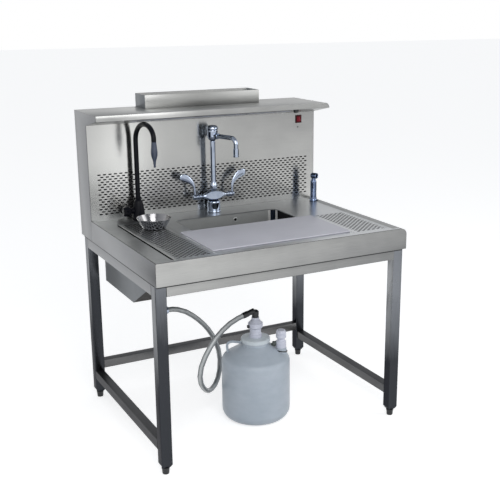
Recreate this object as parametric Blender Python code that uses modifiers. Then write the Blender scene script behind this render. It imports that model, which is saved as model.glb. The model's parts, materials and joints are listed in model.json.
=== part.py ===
"""Grossing workstation: a stainless worktop on a square-tube frame, with a sink, perforated
plates over an air plenum, a perforated rear cabinet with a hood and a duct collar, taps,
a hand spray and a waste bottle on a hose.

Metres, +Z up. The origin is on the floor under the middle of the station; the user stands
at -Y and the cabinet is at +Y.
"""

import math

import bmesh
import bpy
from mathutils import Matrix, Vector

# Overall sizes
WIDTH = 1.200
DEPTH = 0.980
WORK_HEIGHT = 0.925
CABINET_RISE = 0.499
CABINET_DEPTH = 0.165
SHEET = 0.002
GAP = 0.0003

# Frame of square tube
LEG_SIZE = 0.048
TUBE_WALL = 0.002
LEG_INSET_SIDE = 0.0026
LEG_INSET_FRONT = 0.022
LEG_INSET_BACK = 0.034
LEG_END_HEIGHT = 0.046
TAPER_HEIGHT = 0.014
TAPER_SIZE = 0.032
APRON_HEIGHT = 0.050
APRON_DEPTH = 0.025
RAIL_SIZE = 0.042
SIDE_RAIL_BOTTOM = 0.104
REAR_RAIL_BOTTOM = 0.153

# Levelling feet
FOOT_RADIUS = 0.0145
FOOT_STEM_RADIUS = 0.008
FOOT_STEM_LENGTH = 0.060
FOOT_FLARE = 0.003
FOOT_PAD_HEIGHT = 0.010
STEM_CLEARANCE = 0.0004

# Worktop
RIM_HEIGHT = 0.096
RIM_WIDTH = 0.016
RIM_STEP = 0.006
RIM_CORNER = 0.030
DECK_SHEET = 0.004

# Perforated plates let into the worktop
PLATE_SHEET = 0.0015
PLATE_CLEARANCE = 0.001
PLATE_LEDGE = 0.008
PLATE_MARGIN = 0.016
PLATE_BOARD_GAP = 0.004
LEFT_PLATE_INSET = 0.095
LEFT_PLATE_FRONT_INSET = 0.044
LEFT_PLATE_BACK_MARGIN = 0.104
LEFT_SLOT_WIDTH = 0.010
LEFT_HOLE_SIZE = 0.012
LEFT_HOLE_PITCH_X = 0.044
LEFT_HOLE_PITCH_Y = 0.062
RIGHT_PLATE_INSET = 0.065
RIGHT_PLATE_FRONT_INSET = 0.062
RIGHT_PLATE_LENGTH = 0.370
RIGHT_SLOT_LENGTH = 0.030
RIGHT_SLOT_WIDTH = 0.010
RIGHT_SLOT_PITCH_X = 0.054
RIGHT_SLOT_PITCH_Y = 0.030

# Cutting board
BOARD_X = 0.0175
BOARD_WIDTH = 0.671
BOARD_LENGTH = 0.349
BOARD_THICKNESS = 0.006
BOARD_FRONT_INSET = 0.081
BOARD_CORNER = 0.010

# Sink
SINK_X = 0.020
SINK_WIDTH = 0.540
SINK_LENGTH = 0.280
SINK_DEPTH = 0.200
SINK_CORNER = 0.040
SINK_FLANGE = 0.012
SINK_BACK_MARGIN = 0.150
DRAIN_BORE = 0.017
DRAIN_WALL = 0.003
DRAIN_FLANGE = 0.044
DRAIN_FLANGE_HEIGHT = 0.003
DRAIN_TAIL = 0.050
DRAIN_AIR_GAP = 0.043

# Air plenum under the worktop, which also catches the drips
PLENUM_INSET_SIDE = 0.065
PLENUM_REAR_STEP = 0.030
PLENUM_FLOOR_LENGTH = 0.380
PLENUM_FRONT_INSET = 0.055
PLENUM_LIP_DROP = 0.055

# Waste outlet elbow under the plenum
WASTE_X = -0.397
WASTE_Y = 0.020
WASTE_RADIUS = 0.015
WASTE_BORE = 0.010
WASTE_FLANGE = 0.028
WASTE_FLANGE_HEIGHT = 0.004
WASTE_DROP = 0.078
WASTE_REACH = 0.040

# Rear cabinet, hood and duct collar
HOOD_PROJECTION = 0.150
LIP_HEIGHT = 0.025
HOOD_ROOT_HEIGHT = 0.057
HOOD_CORNER = 0.025
COLLAR_WIDTH = 0.600
COLLAR_HEIGHT = 0.063
COLLAR_FRONT_STEP = 0.033
COLLAR_BACK_INSET = 0.001

# Perforated band of the back panel
BAND_BOTTOM = 0.029
BAND_HEIGHT = 0.194
BAND_SIDE_MARGIN = 0.033
BAND_PITCH_X = 0.068
BAND_PITCH_Z = 0.030
BAND_SLOT_LENGTH = 0.036
BAND_SLOT_HEIGHT = 0.012

# Lamp in the hood
LAMP_LENGTH = 0.800
LAMP_WIDTH = 0.046
LAMP_HEIGHT = 0.018
LAMP_FLANGE = 0.006
LAMP_FLANGE_HEIGHT = 0.002
LAMP_KNOB_INSET = 0.180
LAMP_KNOB_SETBACK = 0.022
LAMP_KNOB_RADIUS = 0.0125
LAMP_KNOB_HEIGHT = 0.012

# Rocker switch in the back panel
SWITCH_INSET = 0.092
SWITCH_DROP = 0.091
SWITCH_WIDTH = 0.034
SWITCH_HEIGHT = 0.040
SWITCH_FRAME = 0.004
SWITCH_BEZEL = 0.003
SWITCH_WALL = 0.0015
SWITCH_BODY_DEPTH = 0.022
ROCKER_CLEARANCE = 0.0008
ROCKER_DEPTH = 0.010
ROCKER_PROUD = 0.004
ROCKER_TILT = math.radians(9.0)

# Main tap
TAP_X = 0.000
TAP_SETBACK = 0.057
PILLAR_RADIUS = 0.0320
PILLAR_FLANGE = 0.0335
PILLAR_FLANGE_HEIGHT = 0.005
PILLAR_HEIGHT = 0.0552
BODY_RADIUS = 0.0235
BODY_HALF = 0.056
BODY_NECK_RADIUS = 0.009
BODY_NECK_END = 0.074
VALVE_RADIUS = 0.0135
VALVE_END = 0.088
HUB_RADIUS = 0.0125
HUB_LENGTH = 0.022
LEVER_RADIUS = 0.0048
LEVER_RISE = 0.055
LEVER_TOP = 0.112
LEVER_REACH = 0.072
PADDLE_LENGTH = 0.080
PADDLE_WIDTH = 0.031
PADDLE_THICKNESS = 0.009
RISER_RADIUS = 0.0126
RISER_NUT_RADIUS = 0.0175
RISER_NUT_HEIGHT = 0.042
RISER_DROP = 0.160
BREAKER_RADIUS = 0.0260
BREAKER_HEIGHT = 0.054
BREAKER_CAP_RADIUS = 0.0280
BREAKER_CAP_HEIGHT = 0.022
SPOUT_RADIUS = 0.0110
SPOUT_REACH = 0.160
SPOUT_BEND = 0.030
SPOUT_ANGLE = math.radians(-72.0)
SPOUT_LEVEL = 0.026
SPOUT_DROP = 0.081
SPOUT_TIP_RADIUS = 0.0132
SPOUT_TIP_LENGTH = 0.034

# Gooseneck tap with its side knob
GOOSE_INSET = 0.217
GOOSE_SETBACK = 0.046
GOOSE_BASE_RADIUS = 0.030
GOOSE_BASE_HEIGHT = 0.100
GOOSE_NECK_RADIUS = 0.0112
GOOSE_COLLAR_RADIUS = 0.0145
GOOSE_BELL_POWER = 0.55
GOOSE_STEM_DROP = 0.134
GOOSE_REACH = 0.190
GOOSE_ANGLE = math.radians(-85.0)
GOOSE_RISE = 0.071
GOOSE_END_DROP = 0.116
GOOSE_TAIL = 0.012
NOZZLE_RADIUS = 0.0150
NOZZLE_TIP_RADIUS = 0.0050
NOZZLE_LENGTH = 0.114
GOOSE_BOSS_RADIUS = 0.0130
GOOSE_BOSS_LENGTH = 0.036
GOOSE_BOSS_HEIGHT = 0.045
GOOSE_KNOB_RADIUS = 0.0235
GOOSE_KNOB_LENGTH = 0.040

# Drip bowl under the gooseneck
BOWL_SHIFT = 0.014
BOWL_RIM_RADIUS = 0.0785
BOWL_FOOT_RADIUS = 0.051
BOWL_HEIGHT = 0.049
BOWL_WALL = 0.0016

# Hand spray in its deck holder
SPRAY_INSET = 0.0530
SPRAY_SETBACK = 0.090
HOLDER_RADIUS = 0.0195
HOLDER_TOP_RADIUS = 0.0165
HOLDER_HEIGHT = 0.022
HOLDER_FLANGE_HEIGHT = 0.009
HOLDER_FLOOR = 0.004
SPRAY_RADIUS = 0.0158
SPRAY_STEM_RADIUS = 0.0120
SPRAY_STEM_LENGTH = 0.018
SPRAY_STEM_CLEARANCE = 0.0006
SPRAY_BODY_HEIGHT = 0.086
SPRAY_WAIST_RADIUS = 0.0100
SPRAY_WAIST_HEIGHT = 0.010
SPRAY_HEAD_RADIUS = 0.0150
SPRAY_HEAD_LENGTH = 0.034
SPRAY_HEAD_ANGLE = math.radians(-62.0)

# Waste bottle
BOTTLE_X = 0.016
BOTTLE_Y = -0.131
BOTTLE_TURN = math.radians(-28.0)
BOTTLE_RADIUS = 0.161
BOTTLE_WALL = 0.003
BOTTLE_FOOT_ROUND = 0.048
BOTTLE_SHOULDER_HEIGHT = 0.278
BOTTLE_SHOULDER_ROUND = 0.035
BOTTLE_NECK_RADIUS = 0.0625
BOTTLE_NECK_HEIGHT = 0.360
BOTTLE_TOP = 0.3895
CAP_RADIUS = 0.0685
CAP_HEIGHT = 0.020
CAP_TOP = 0.005
CAP_CLEARANCE = 0.0005
HANDLE_REACH = 0.139
HANDLE_RADIUS = 0.0060
HANDLE_ROOT_DROP = 0.0235
HANDLE_LEVEL = 0.370
HANDLE_FOOT_RADIUS = 0.130
BOSS_REACH = 0.1195
BOSS_RADIUS = 0.026
BOSS_TOP = 0.341

# Fittings on the bottle
COUPLING_RADIUS = 0.026
COUPLING_WIDE_RADIUS = 0.035
COUPLING_TOP_RADIUS = 0.0185
COUPLING_HEIGHT = 0.096
LATCH_WIDTH = 0.016
LATCH_HEIGHT = 0.014
LATCH_LENGTH = 0.010
LATCH_LEVEL = 0.055
LATCH_TRAVEL = 0.003
LATCH_CLEARANCE = 0.0004
ELBOW_RADIUS = 0.0165
ELBOW_HEIGHT = 0.035
ELBOW_ARM_RADIUS = 0.0130
VENT_RADIUS = 0.0240
VENT_HEIGHT = 0.087

# Waste hose, by the points of its middle line
HOSE_DIAMETER = 0.024
HOSE_SIDES_RESOLUTION = 3
HOSE_STEP = 0.048
HOSE_ROUTE = (
    (-0.3567, 0.0200, 0.5440),
    (-0.3331, 0.0201, 0.5433),
    (-0.3094, 0.0213, 0.5378),
    (-0.2663, 0.0270, 0.5177),
    (-0.2285, 0.0374, 0.4901),
    (-0.1939, 0.0500, 0.4593),
    (-0.1618, 0.0632, 0.4261),
    (-0.1323, 0.0760, 0.3904),
    (-0.1063, 0.0873, 0.3517),
    (-0.0845, 0.0963, 0.3099),
    (-0.0697, 0.0992, 0.2646),
    (-0.0680, 0.0891, 0.2179),
    (-0.0798, 0.0691, 0.1762),
    (-0.1032, 0.0415, 0.1451),
    (-0.1342, 0.0092, 0.1284),
    (-0.1681, -0.0246, 0.1260),
    (-0.2000, -0.0582, 0.1379),
    (-0.2274, -0.0899, 0.1612),
    (-0.2518, -0.1195, 0.1901),
    (-0.2732, -0.1458, 0.2240),
    (-0.2847, -0.1619, 0.2672),
    (-0.2781, -0.1650, 0.3142),
    (-0.2564, -0.1611, 0.3567),
    (-0.2284, -0.1551, 0.3952),
    (-0.1960, -0.1485, 0.4301),
    (-0.1589, -0.1418, 0.4597),
    (-0.1179, -0.1358, 0.4840),
    (-0.0734, -0.1322, 0.5015),
    (-0.0270, -0.1310, 0.5137),
)

# Places that follow from the sizes above
LEFT = -WIDTH / 2
RIGHT = WIDTH / 2
FRONT = -DEPTH / 2
BACK = DEPTH / 2
PANEL_Y = BACK - CABINET_DEPTH
TOP_HEIGHT = WORK_HEIGHT + CABINET_RISE
SKIRT_BOTTOM = WORK_HEIGHT - RIM_HEIGHT
FRAME_TOP = SKIRT_BOTTOM - GAP
DECK_TOP = WORK_HEIGHT - RIM_STEP
DECK_BOTTOM = DECK_TOP - DECK_SHEET
PLATE_TOP = DECK_TOP - GAP
PLATE_BOTTOM = PLATE_TOP - PLATE_SHEET
HOOD_FRONT = PANEL_Y - HOOD_PROJECTION
SINK_BACK = PANEL_Y - SINK_BACK_MARGIN
SINK_FRONT = SINK_BACK - SINK_LENGTH
SINK_Y = SINK_BACK - SINK_LENGTH / 2
SINK_FLOOR = DECK_BOTTOM - SINK_DEPTH
PLENUM_FLOOR_HEIGHT = SINK_FLOOR - DRAIN_TAIL - DRAIN_AIR_GAP
PLENUM_LIP_HEIGHT = DECK_BOTTOM - PLENUM_LIP_DROP
PLENUM_BACK = PANEL_Y + PLENUM_REAR_STEP
COLLAR_FRONT = PANEL_Y + COLLAR_FRONT_STEP
COLLAR_BACK = BACK - COLLAR_BACK_INSET
TAP_Y = PANEL_Y - TAP_SETBACK
GOOSE_Y = PANEL_Y - GOOSE_SETBACK
TAP_BODY_Z = DECK_TOP + PILLAR_HEIGHT + BODY_RADIUS + GAP
TAP_RISER_BOTTOM = TAP_BODY_Z + BODY_RADIUS + GAP
TAP_RISER_TOP = TOP_HEIGHT - RISER_DROP
GOOSE_X = LEFT + GOOSE_INSET
GOOSE_STEM_TOP = TOP_HEIGHT - GOOSE_STEM_DROP
GOOSE_END = TOP_HEIGHT - GOOSE_END_DROP
NOZZLE_X = GOOSE_X + GOOSE_REACH * math.cos(GOOSE_ANGLE)
NOZZLE_Y = GOOSE_Y + GOOSE_REACH * math.sin(GOOSE_ANGLE)
SPRAY_X = RIGHT - SPRAY_INSET
SPRAY_Y = PANEL_Y - SPRAY_SETBACK
SWITCH_X = RIGHT - SWITCH_INSET
LAMP_KNOB_X = RIGHT - LAMP_KNOB_INSET
SWITCH_Z = TOP_HEIGHT - SWITCH_DROP
HOOD_SLOPE = math.atan2(HOOD_ROOT_HEIGHT - LIP_HEIGHT, HOOD_PROJECTION)
BOARD_FRONT = FRONT + BOARD_FRONT_INSET
BOARD_LEFT = BOARD_X - BOARD_WIDTH / 2
BOARD_RIGHT = BOARD_X + BOARD_WIDTH / 2
COUPLING_BOTTOM = BOTTLE_TOP + CAP_TOP + 2 * GAP
ELBOW_BOTTOM = COUPLING_BOTTOM + COUPLING_HEIGHT + GAP

# Segments round a turned piece
FINE_TURN = 28
PLAIN_TURN = 20
SMALL_TURN = 14


def clear_scene():
    for old in list(bpy.data.objects):
        bpy.data.objects.remove(old, do_unlink=True)


clear_scene()
PARTS = bpy.data.collections.new("grossing_workstation")
CUTTERS = bpy.data.collections.new("cutters")
bpy.context.scene.collection.children.link(PARTS)
bpy.context.scene.collection.children.link(CUTTERS)


def finish_material(name, colour, roughness, metallic):
    made = bpy.data.materials.new(name)
    made.use_nodes = True
    shader = made.node_tree.nodes["Principled BSDF"]
    shader.inputs["Base Color"].default_value = (*colour, 1.0)
    shader.inputs["Roughness"].default_value = roughness
    shader.inputs["Metallic"].default_value = metallic
    return made


BRUSHED_STEEL = finish_material("brushed_stainless", (0.62, 0.62, 0.60), 0.35, 1.0)
POLISHED_STEEL = finish_material("polished_stainless", (0.60, 0.60, 0.60), 0.18, 1.0)
CHROME = finish_material("chrome", (0.80, 0.81, 0.83), 0.06, 1.0)
BLACK_COATING = finish_material("black_coating", (0.012, 0.012, 0.018), 0.35, 0.0)
BLACK_PLASTIC = finish_material("black_plastic", (0.015, 0.015, 0.016), 0.45, 0.0)
WHITE_BOARD = finish_material("white_polyethylene", (0.72, 0.73, 0.75), 0.55, 0.0)
BOTTLE_PLASTIC = finish_material("natural_polyethylene", (0.55, 0.60, 0.64), 0.45, 0.0)
WHITE_PLASTIC = finish_material("white_plastic", (0.80, 0.81, 0.84), 0.40, 0.0)
RED_PLASTIC = finish_material("red_plastic", (0.25, 0.006, 0.02), 0.30, 0.0)
DIFFUSER = finish_material("opal_plastic", (0.85, 0.85, 0.82), 0.50, 0.0)
HOSE_PLASTIC = finish_material("clear_hose", (0.42, 0.43, 0.43), 0.30, 0.0)


def add_object(name, data, finish):
    made = bpy.data.objects.new(name, data)
    PARTS.objects.link(made)
    if finish:
        data.materials.append(finish)
    return made


def as_helper(piece):
    """Keep a cutter or a joined-on shape out of the finished parts."""
    PARTS.objects.unlink(piece)
    CUTTERS.objects.link(piece)
    piece.hide_render = True
    piece.display_type = "WIRE"
    return piece


def combine(piece, operation, *helpers):
    for helper in helpers:
        step = piece.modifiers.new(operation.lower(), "BOOLEAN")
        step.operation = operation
        step.object = as_helper(helper)
        step.solver = "EXACT"
    return piece


def mesh_object(name, bm, finish=None):
    mesh = bpy.data.meshes.new(name)
    bmesh.ops.recalc_face_normals(bm, faces=bm.faces)
    bm.to_mesh(mesh)
    bm.free()
    return add_object(name, mesh, finish)


def move_origin(piece, point):
    """Put the object's origin on a joint axis without moving the piece."""
    piece.data.transform(Matrix.Translation(-Vector(point)))
    piece.location = point
    return piece


def box(name, low, high, finish=None):
    low = Vector(low)
    high = Vector(high)
    size = high - low
    bm = bmesh.new()
    bmesh.ops.create_cube(bm, size=1.0)
    bmesh.ops.scale(bm, vec=size, verts=bm.verts)
    bmesh.ops.translate(bm, vec=(low + high) / 2, verts=bm.verts)
    return mesh_object(name, bm, finish)


def cylinder(name, start, end, radius, segments=PLAIN_TURN, finish=None):
    start = Vector(start)
    along = Vector(end) - start
    bm = bmesh.new()
    bmesh.ops.create_cone(
        bm, cap_ends=True, segments=segments, radius1=radius, radius2=radius, depth=along.length
    )
    turn = Vector((0, 0, 1)).rotation_difference(along).to_matrix()
    bmesh.ops.rotate(bm, matrix=turn, verts=bm.verts)
    bmesh.ops.translate(bm, vec=start + along / 2, verts=bm.verts)
    return mesh_object(name, bm, finish)


def square_tube(name, axis, low, high, wall, finish):
    """A rectangular tube along one axis, open at both ends."""
    piece = box(name, low, high, finish)
    bm = bmesh.new()
    bm.from_mesh(piece.data)
    bm.faces.ensure_lookup_table()
    ends = [face for face in bm.faces if abs(face.normal[axis]) > 0.9]
    bmesh.ops.inset_individual(bm, faces=ends, thickness=wall)
    inner_edges = [edge for face in ends for edge in face.edges]
    bmesh.ops.delete(bm, geom=ends, context="FACES_ONLY")
    bmesh.ops.bridge_loops(bm, edges=inner_edges)
    bmesh.ops.recalc_face_normals(bm, faces=bm.faces)
    bm.to_mesh(piece.data)
    bm.free()
    return piece


def arc(centre, radius, start, end, steps):
    points = []
    for index in range(steps + 1):
        angle = start + (end - start) * index / steps
        points.append((centre[0] + radius * math.cos(angle), centre[1] + radius * math.sin(angle)))
    return points


def rectangle(low, high):
    return [(low[0], low[1]), (high[0], low[1]), (high[0], high[1]), (low[0], high[1])]


def rounded_rectangle(low, high, radius, steps=5):
    corners = (
        ((high[0] - radius, low[1] + radius), -math.pi / 2),
        ((high[0] - radius, high[1] - radius), 0.0),
        ((low[0] + radius, high[1] - radius), math.pi / 2),
        ((low[0] + radius, low[1] + radius), math.pi),
    )
    points = []
    for centre, start in corners:
        points += arc(centre, radius, start, start + math.pi / 2, steps)
    return points


def plane_turn(plane):
    """The turn that takes an outline's two axes to the two named axes."""
    axes = dict(zip("XYZ", Matrix.Identity(3)))
    across = axes[plane[0]]
    upward = axes[plane[1]]
    return Matrix((across, upward, across.cross(upward))).transposed()


def slab(name, plane, outlines, low, high, finish=None):
    """A flat outline, with any further outlines as holes, extruded from low to high."""
    curve = bpy.data.curves.new(name, "CURVE")
    curve.dimensions = "2D"
    curve.fill_mode = "BOTH"
    curve.extrude = (high - low) / 2
    for outline in outlines:
        spline = curve.splines.new("POLY")
        spline.points.add(len(outline) - 1)
        for point, place in zip(spline.points, outline):
            point.co = (place[0], place[1], 0, 1)
        spline.use_cyclic_u = True
    holder = bpy.data.objects.new(name, curve)
    PARTS.objects.link(holder)
    turn = plane_turn(plane)
    extruded = Vector([abs(share) for share in turn.col[2]])
    middle = extruded * (low + high) / 2
    return curve_to_mesh(holder, finish, Matrix.Translation(middle) @ turn.to_4x4())


def curve_to_mesh(holder, finish, placing):
    """Turn a curve object into a welded mesh object of the same name."""
    name = holder.name
    graph = bpy.context.evaluated_depsgraph_get()
    mesh = bpy.data.meshes.new_from_object(holder.evaluated_get(graph))
    curve = holder.data
    bpy.data.objects.remove(holder, do_unlink=True)
    bpy.data.curves.remove(curve)
    mesh.transform(placing)
    bm = bmesh.new()
    bm.from_mesh(mesh)
    bmesh.ops.remove_doubles(bm, verts=bm.verts, dist=1e-6)
    bmesh.ops.recalc_face_normals(bm, faces=bm.faces)
    bm.to_mesh(mesh)
    bm.free()
    mesh.materials.clear()
    mesh.name = name
    return add_object(name, mesh, finish)


def turned(name, profile, place, finish=None, segments=PLAIN_TURN, closed=False):
    """A turned piece: the profile's (radius, height) points run down the outer side."""
    bm = bmesh.new()
    points = [bm.verts.new((radius, 0, height)) for radius, height in profile]
    for first, second in zip(points, points[1:]):
        bm.edges.new((first, second))
    if closed:
        bm.edges.new((points[-1], points[0]))
    mesh = bpy.data.meshes.new(name)
    bm.to_mesh(mesh)
    bm.free()
    piece = add_object(name, mesh, finish)
    piece.location = place
    turn = piece.modifiers.new("turn", "SCREW")
    turn.axis = "Z"
    turn.angle = 2 * math.pi
    turn.steps = segments
    turn.render_steps = segments
    turn.use_merge_vertices = True
    turn.merge_threshold = 0.00001
    turn.use_smooth_shade = True
    return piece


def smooth_route(points, step):
    """Points about one step apart on a Catmull-Rom curve through the given points."""
    route = [Vector(point) for point in points]
    route = [2 * route[0] - route[1]] + route + [2 * route[-1] - route[-2]]
    result = []
    for index in range(1, len(route) - 2):
        before, start, end, after = route[index - 1 : index + 3]
        count = max(1, round((end - start).length / step))
        for part in range(count):
            t = part / count
            result.append(
                0.5
                * (
                    2 * start
                    + (end - before) * t
                    + (2 * before - 5 * start + 4 * end - after) * t * t
                    + (3 * start - before - 3 * end + after) * t * t * t
                )
            )
    result.append(route[-2])
    return result


def tube(name, points, radius, finish=None, resolution=2, radii=None):
    """A round bar along the given points, as a welded mesh."""
    curve = bpy.data.curves.new(name, "CURVE")
    curve.dimensions = "3D"
    curve.bevel_depth = radius
    curve.bevel_resolution = resolution
    curve.use_fill_caps = True
    spline = curve.splines.new("POLY")
    spline.points.add(len(points) - 1)
    for index, place in enumerate(points):
        spline.points[index].co = (*place, 1)
        if radii:
            spline.points[index].radius = radii[index] / radius
    spline.use_smooth = True
    holder = bpy.data.objects.new(name, curve)
    PARTS.objects.link(holder)
    return curve_to_mesh(holder, finish, Matrix.Identity(4))


def ellipsoid(name, centre, half_sizes, tilt, finish=None):
    """A flattened round form, turned about Y by the tilt."""
    bm = bmesh.new()
    bmesh.ops.create_uvsphere(bm, u_segments=12, v_segments=8, radius=1.0)
    bmesh.ops.scale(bm, vec=half_sizes, verts=bm.verts)
    bmesh.ops.rotate(bm, matrix=Matrix.Rotation(tilt, 3, "Y"), verts=bm.verts)
    bmesh.ops.translate(bm, vec=centre, verts=bm.verts)
    return mesh_object(name, bm, finish)


def inset_outline(points, distance):
    """A closed convex outline, listed anticlockwise, moved inwards by one wall."""
    count = len(points)
    result = []
    for index in range(count):
        before = Vector(points[index - 1])
        here = Vector(points[index])
        after = Vector(points[(index + 1) % count])
        first = (here - before).normalized()
        second = (after - here).normalized()
        first_normal = Vector((-first.y, first.x))
        second_normal = Vector((-second.y, second.x))
        bisector = (first_normal + second_normal).normalized()
        result.append(tuple(here + bisector * distance / bisector.dot(first_normal)))
    return result


# Frame
LEG_LEFT = LEFT + LEG_INSET_SIDE
LEG_RIGHT = RIGHT - LEG_INSET_SIDE - LEG_SIZE
LEG_FRONT = FRONT + LEG_INSET_FRONT
LEG_REAR = BACK - LEG_INSET_BACK - LEG_SIZE
LEG_CORNERS = {
    "front_left": (LEG_LEFT, LEG_FRONT),
    "front_right": (LEG_RIGHT, LEG_FRONT),
    "rear_left": (LEG_LEFT, LEG_REAR),
    "rear_right": (LEG_RIGHT, LEG_REAR),
}


def make_leg(corner, low):
    """A square tube, open at the top, closed below by a tapered end with the foot's hole."""
    leg = box(
        "leg_" + corner,
        (*low, LEG_END_HEIGHT),
        (low[0] + LEG_SIZE, low[1] + LEG_SIZE, FRAME_TOP),
        BRUSHED_STEEL,
    )
    middle = Vector((low[0] + LEG_SIZE / 2, low[1] + LEG_SIZE / 2, 0))
    bm = bmesh.new()
    bm.from_mesh(leg.data)
    bottom = min(bm.faces, key=lambda face: face.calc_center_median().z)
    grown = bmesh.ops.extrude_face_region(bm, geom=[bottom])
    lower = [item for item in grown["geom"] if isinstance(item, bmesh.types.BMVert)]
    bmesh.ops.translate(bm, vec=(0, 0, -TAPER_HEIGHT), verts=lower)
    shrink = TAPER_SIZE / LEG_SIZE
    bmesh.ops.scale(bm, vec=(shrink, shrink, 1), space=Matrix.Translation(-middle), verts=lower)
    if bottom.is_valid:
        bmesh.ops.delete(bm, geom=[bottom], context="FACES_ONLY")
    top = max(bm.faces, key=lambda face: face.calc_center_median().z)
    bmesh.ops.inset_individual(bm, faces=[top], thickness=TUBE_WALL)
    sunk = bmesh.ops.extrude_face_region(bm, geom=[top])
    floor = [item for item in sunk["geom"] if isinstance(item, bmesh.types.BMVert)]
    cavity = FRAME_TOP - LEG_END_HEIGHT - TUBE_WALL
    bmesh.ops.translate(bm, vec=(0, 0, -cavity), verts=floor)
    if top.is_valid:
        bmesh.ops.delete(bm, geom=[top], context="FACES_ONLY")
    bmesh.ops.recalc_face_normals(bm, faces=bm.faces)
    bm.to_mesh(leg.data)
    bm.free()
    hole_bottom = middle + Vector((0, 0, LEG_END_HEIGHT - 2 * TAPER_HEIGHT))
    hole_top = middle + Vector((0, 0, LEG_END_HEIGHT + 4 * TUBE_WALL))
    hole = cylinder(
        "foot_hole_" + corner, hole_bottom, hole_top, FOOT_STEM_RADIUS + STEM_CLEARANCE, SMALL_TURN
    )
    return combine(leg, "DIFFERENCE", hole)


def make_foot(corner, low):
    """A levelling foot: a round pad and neck under the leg, with a stem up into it."""
    shoulder = LEG_END_HEIGHT - TAPER_HEIGHT - GAP
    stem_top = shoulder + FOOT_STEM_LENGTH
    profile = [
        (0, stem_top),
        (FOOT_STEM_RADIUS, stem_top),
        (FOOT_STEM_RADIUS, shoulder),
        (FOOT_RADIUS, shoulder),
        (FOOT_RADIUS, FOOT_PAD_HEIGHT),
        (FOOT_RADIUS + FOOT_FLARE, FOOT_PAD_HEIGHT - FOOT_FLARE),
        (FOOT_RADIUS + FOOT_FLARE, 0),
        (0, 0),
    ]
    place = (low[0] + LEG_SIZE / 2, low[1] + LEG_SIZE / 2, 0)
    return turned("foot_" + corner, profile, place, BLACK_PLASTIC, SMALL_TURN)


def make_frame():
    for corner, low in LEG_CORNERS.items():
        make_leg(corner, low)
        make_foot(corner, low)
    inner_left = LEG_LEFT + LEG_SIZE + GAP
    inner_right = LEG_RIGHT - GAP
    inner_front = LEG_FRONT + LEG_SIZE + GAP
    inner_rear = LEG_REAR - GAP
    apron_bottom = FRAME_TOP - APRON_HEIGHT
    outer_right = LEG_RIGHT + LEG_SIZE
    outer_rear = LEG_REAR + LEG_SIZE
    square_tube(
        "apron_front",
        0,
        (inner_left, LEG_FRONT, apron_bottom),
        (inner_right, LEG_FRONT + APRON_DEPTH, FRAME_TOP),
        TUBE_WALL,
        BRUSHED_STEEL,
    )
    square_tube(
        "apron_rear",
        0,
        (inner_left, outer_rear - APRON_DEPTH, apron_bottom),
        (inner_right, outer_rear, FRAME_TOP),
        TUBE_WALL,
        BRUSHED_STEEL,
    )
    square_tube(
        "apron_left",
        1,
        (LEG_LEFT, inner_front, apron_bottom),
        (LEG_LEFT + APRON_DEPTH, inner_rear, FRAME_TOP),
        TUBE_WALL,
        BRUSHED_STEEL,
    )
    square_tube(
        "apron_right",
        1,
        (outer_right - APRON_DEPTH, inner_front, apron_bottom),
        (outer_right, inner_rear, FRAME_TOP),
        TUBE_WALL,
        BRUSHED_STEEL,
    )
    rail_top = SIDE_RAIL_BOTTOM + RAIL_SIZE
    square_tube(
        "rail_left",
        1,
        (LEG_LEFT, inner_front, SIDE_RAIL_BOTTOM),
        (LEG_LEFT + RAIL_SIZE, inner_rear, rail_top),
        TUBE_WALL,
        BRUSHED_STEEL,
    )
    square_tube(
        "rail_right",
        1,
        (outer_right - RAIL_SIZE, inner_front, SIDE_RAIL_BOTTOM),
        (outer_right, inner_rear, rail_top),
        TUBE_WALL,
        BRUSHED_STEEL,
    )
    rear_start = LEG_REAR + (LEG_SIZE - RAIL_SIZE) / 2
    square_tube(
        "rail_rear",
        0,
        (inner_left, rear_start, REAR_RAIL_BOTTOM),
        (inner_right, rear_start + RAIL_SIZE, REAR_RAIL_BOTTOM + RAIL_SIZE),
        TUBE_WALL,
        BRUSHED_STEEL,
    )


# Worktop
DECK_LEFT = LEFT + SHEET + GAP
DECK_RIGHT = RIGHT - RIM_CORNER - GAP
DECK_FRONT = FRONT + SHEET + GAP
DECK_BACK = PANEL_Y - GAP
LEFT_PLATE_LOW = (LEFT + LEFT_PLATE_INSET, FRONT + LEFT_PLATE_FRONT_INSET)
LEFT_PLATE_HIGH = (BOARD_LEFT - PLATE_BOARD_GAP, PANEL_Y - LEFT_PLATE_BACK_MARGIN)
RIGHT_PLATE_LOW = (BOARD_RIGHT + PLATE_BOARD_GAP, FRONT + RIGHT_PLATE_FRONT_INSET)
RIGHT_PLATE_HIGH = (RIGHT - RIGHT_PLATE_INSET, RIGHT_PLATE_LOW[1] + RIGHT_PLATE_LENGTH)


def grown_rectangle(low, high, margin):
    return rectangle((low[0] - margin, low[1] - margin), (high[0] + margin, high[1] + margin))


def rolled_profile(bottom, top, radius):
    """The right side's sheet: up the outer face, round the top corner, and back down inside."""
    centre = (RIGHT - radius, top - radius)
    outer = [(RIGHT, bottom)] + arc(centre, radius, 0, math.pi / 2, 6)
    inner = arc(centre, radius - SHEET, math.pi / 2, 0, 6) + [(RIGHT - SHEET, bottom)]
    return outer + inner


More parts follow.
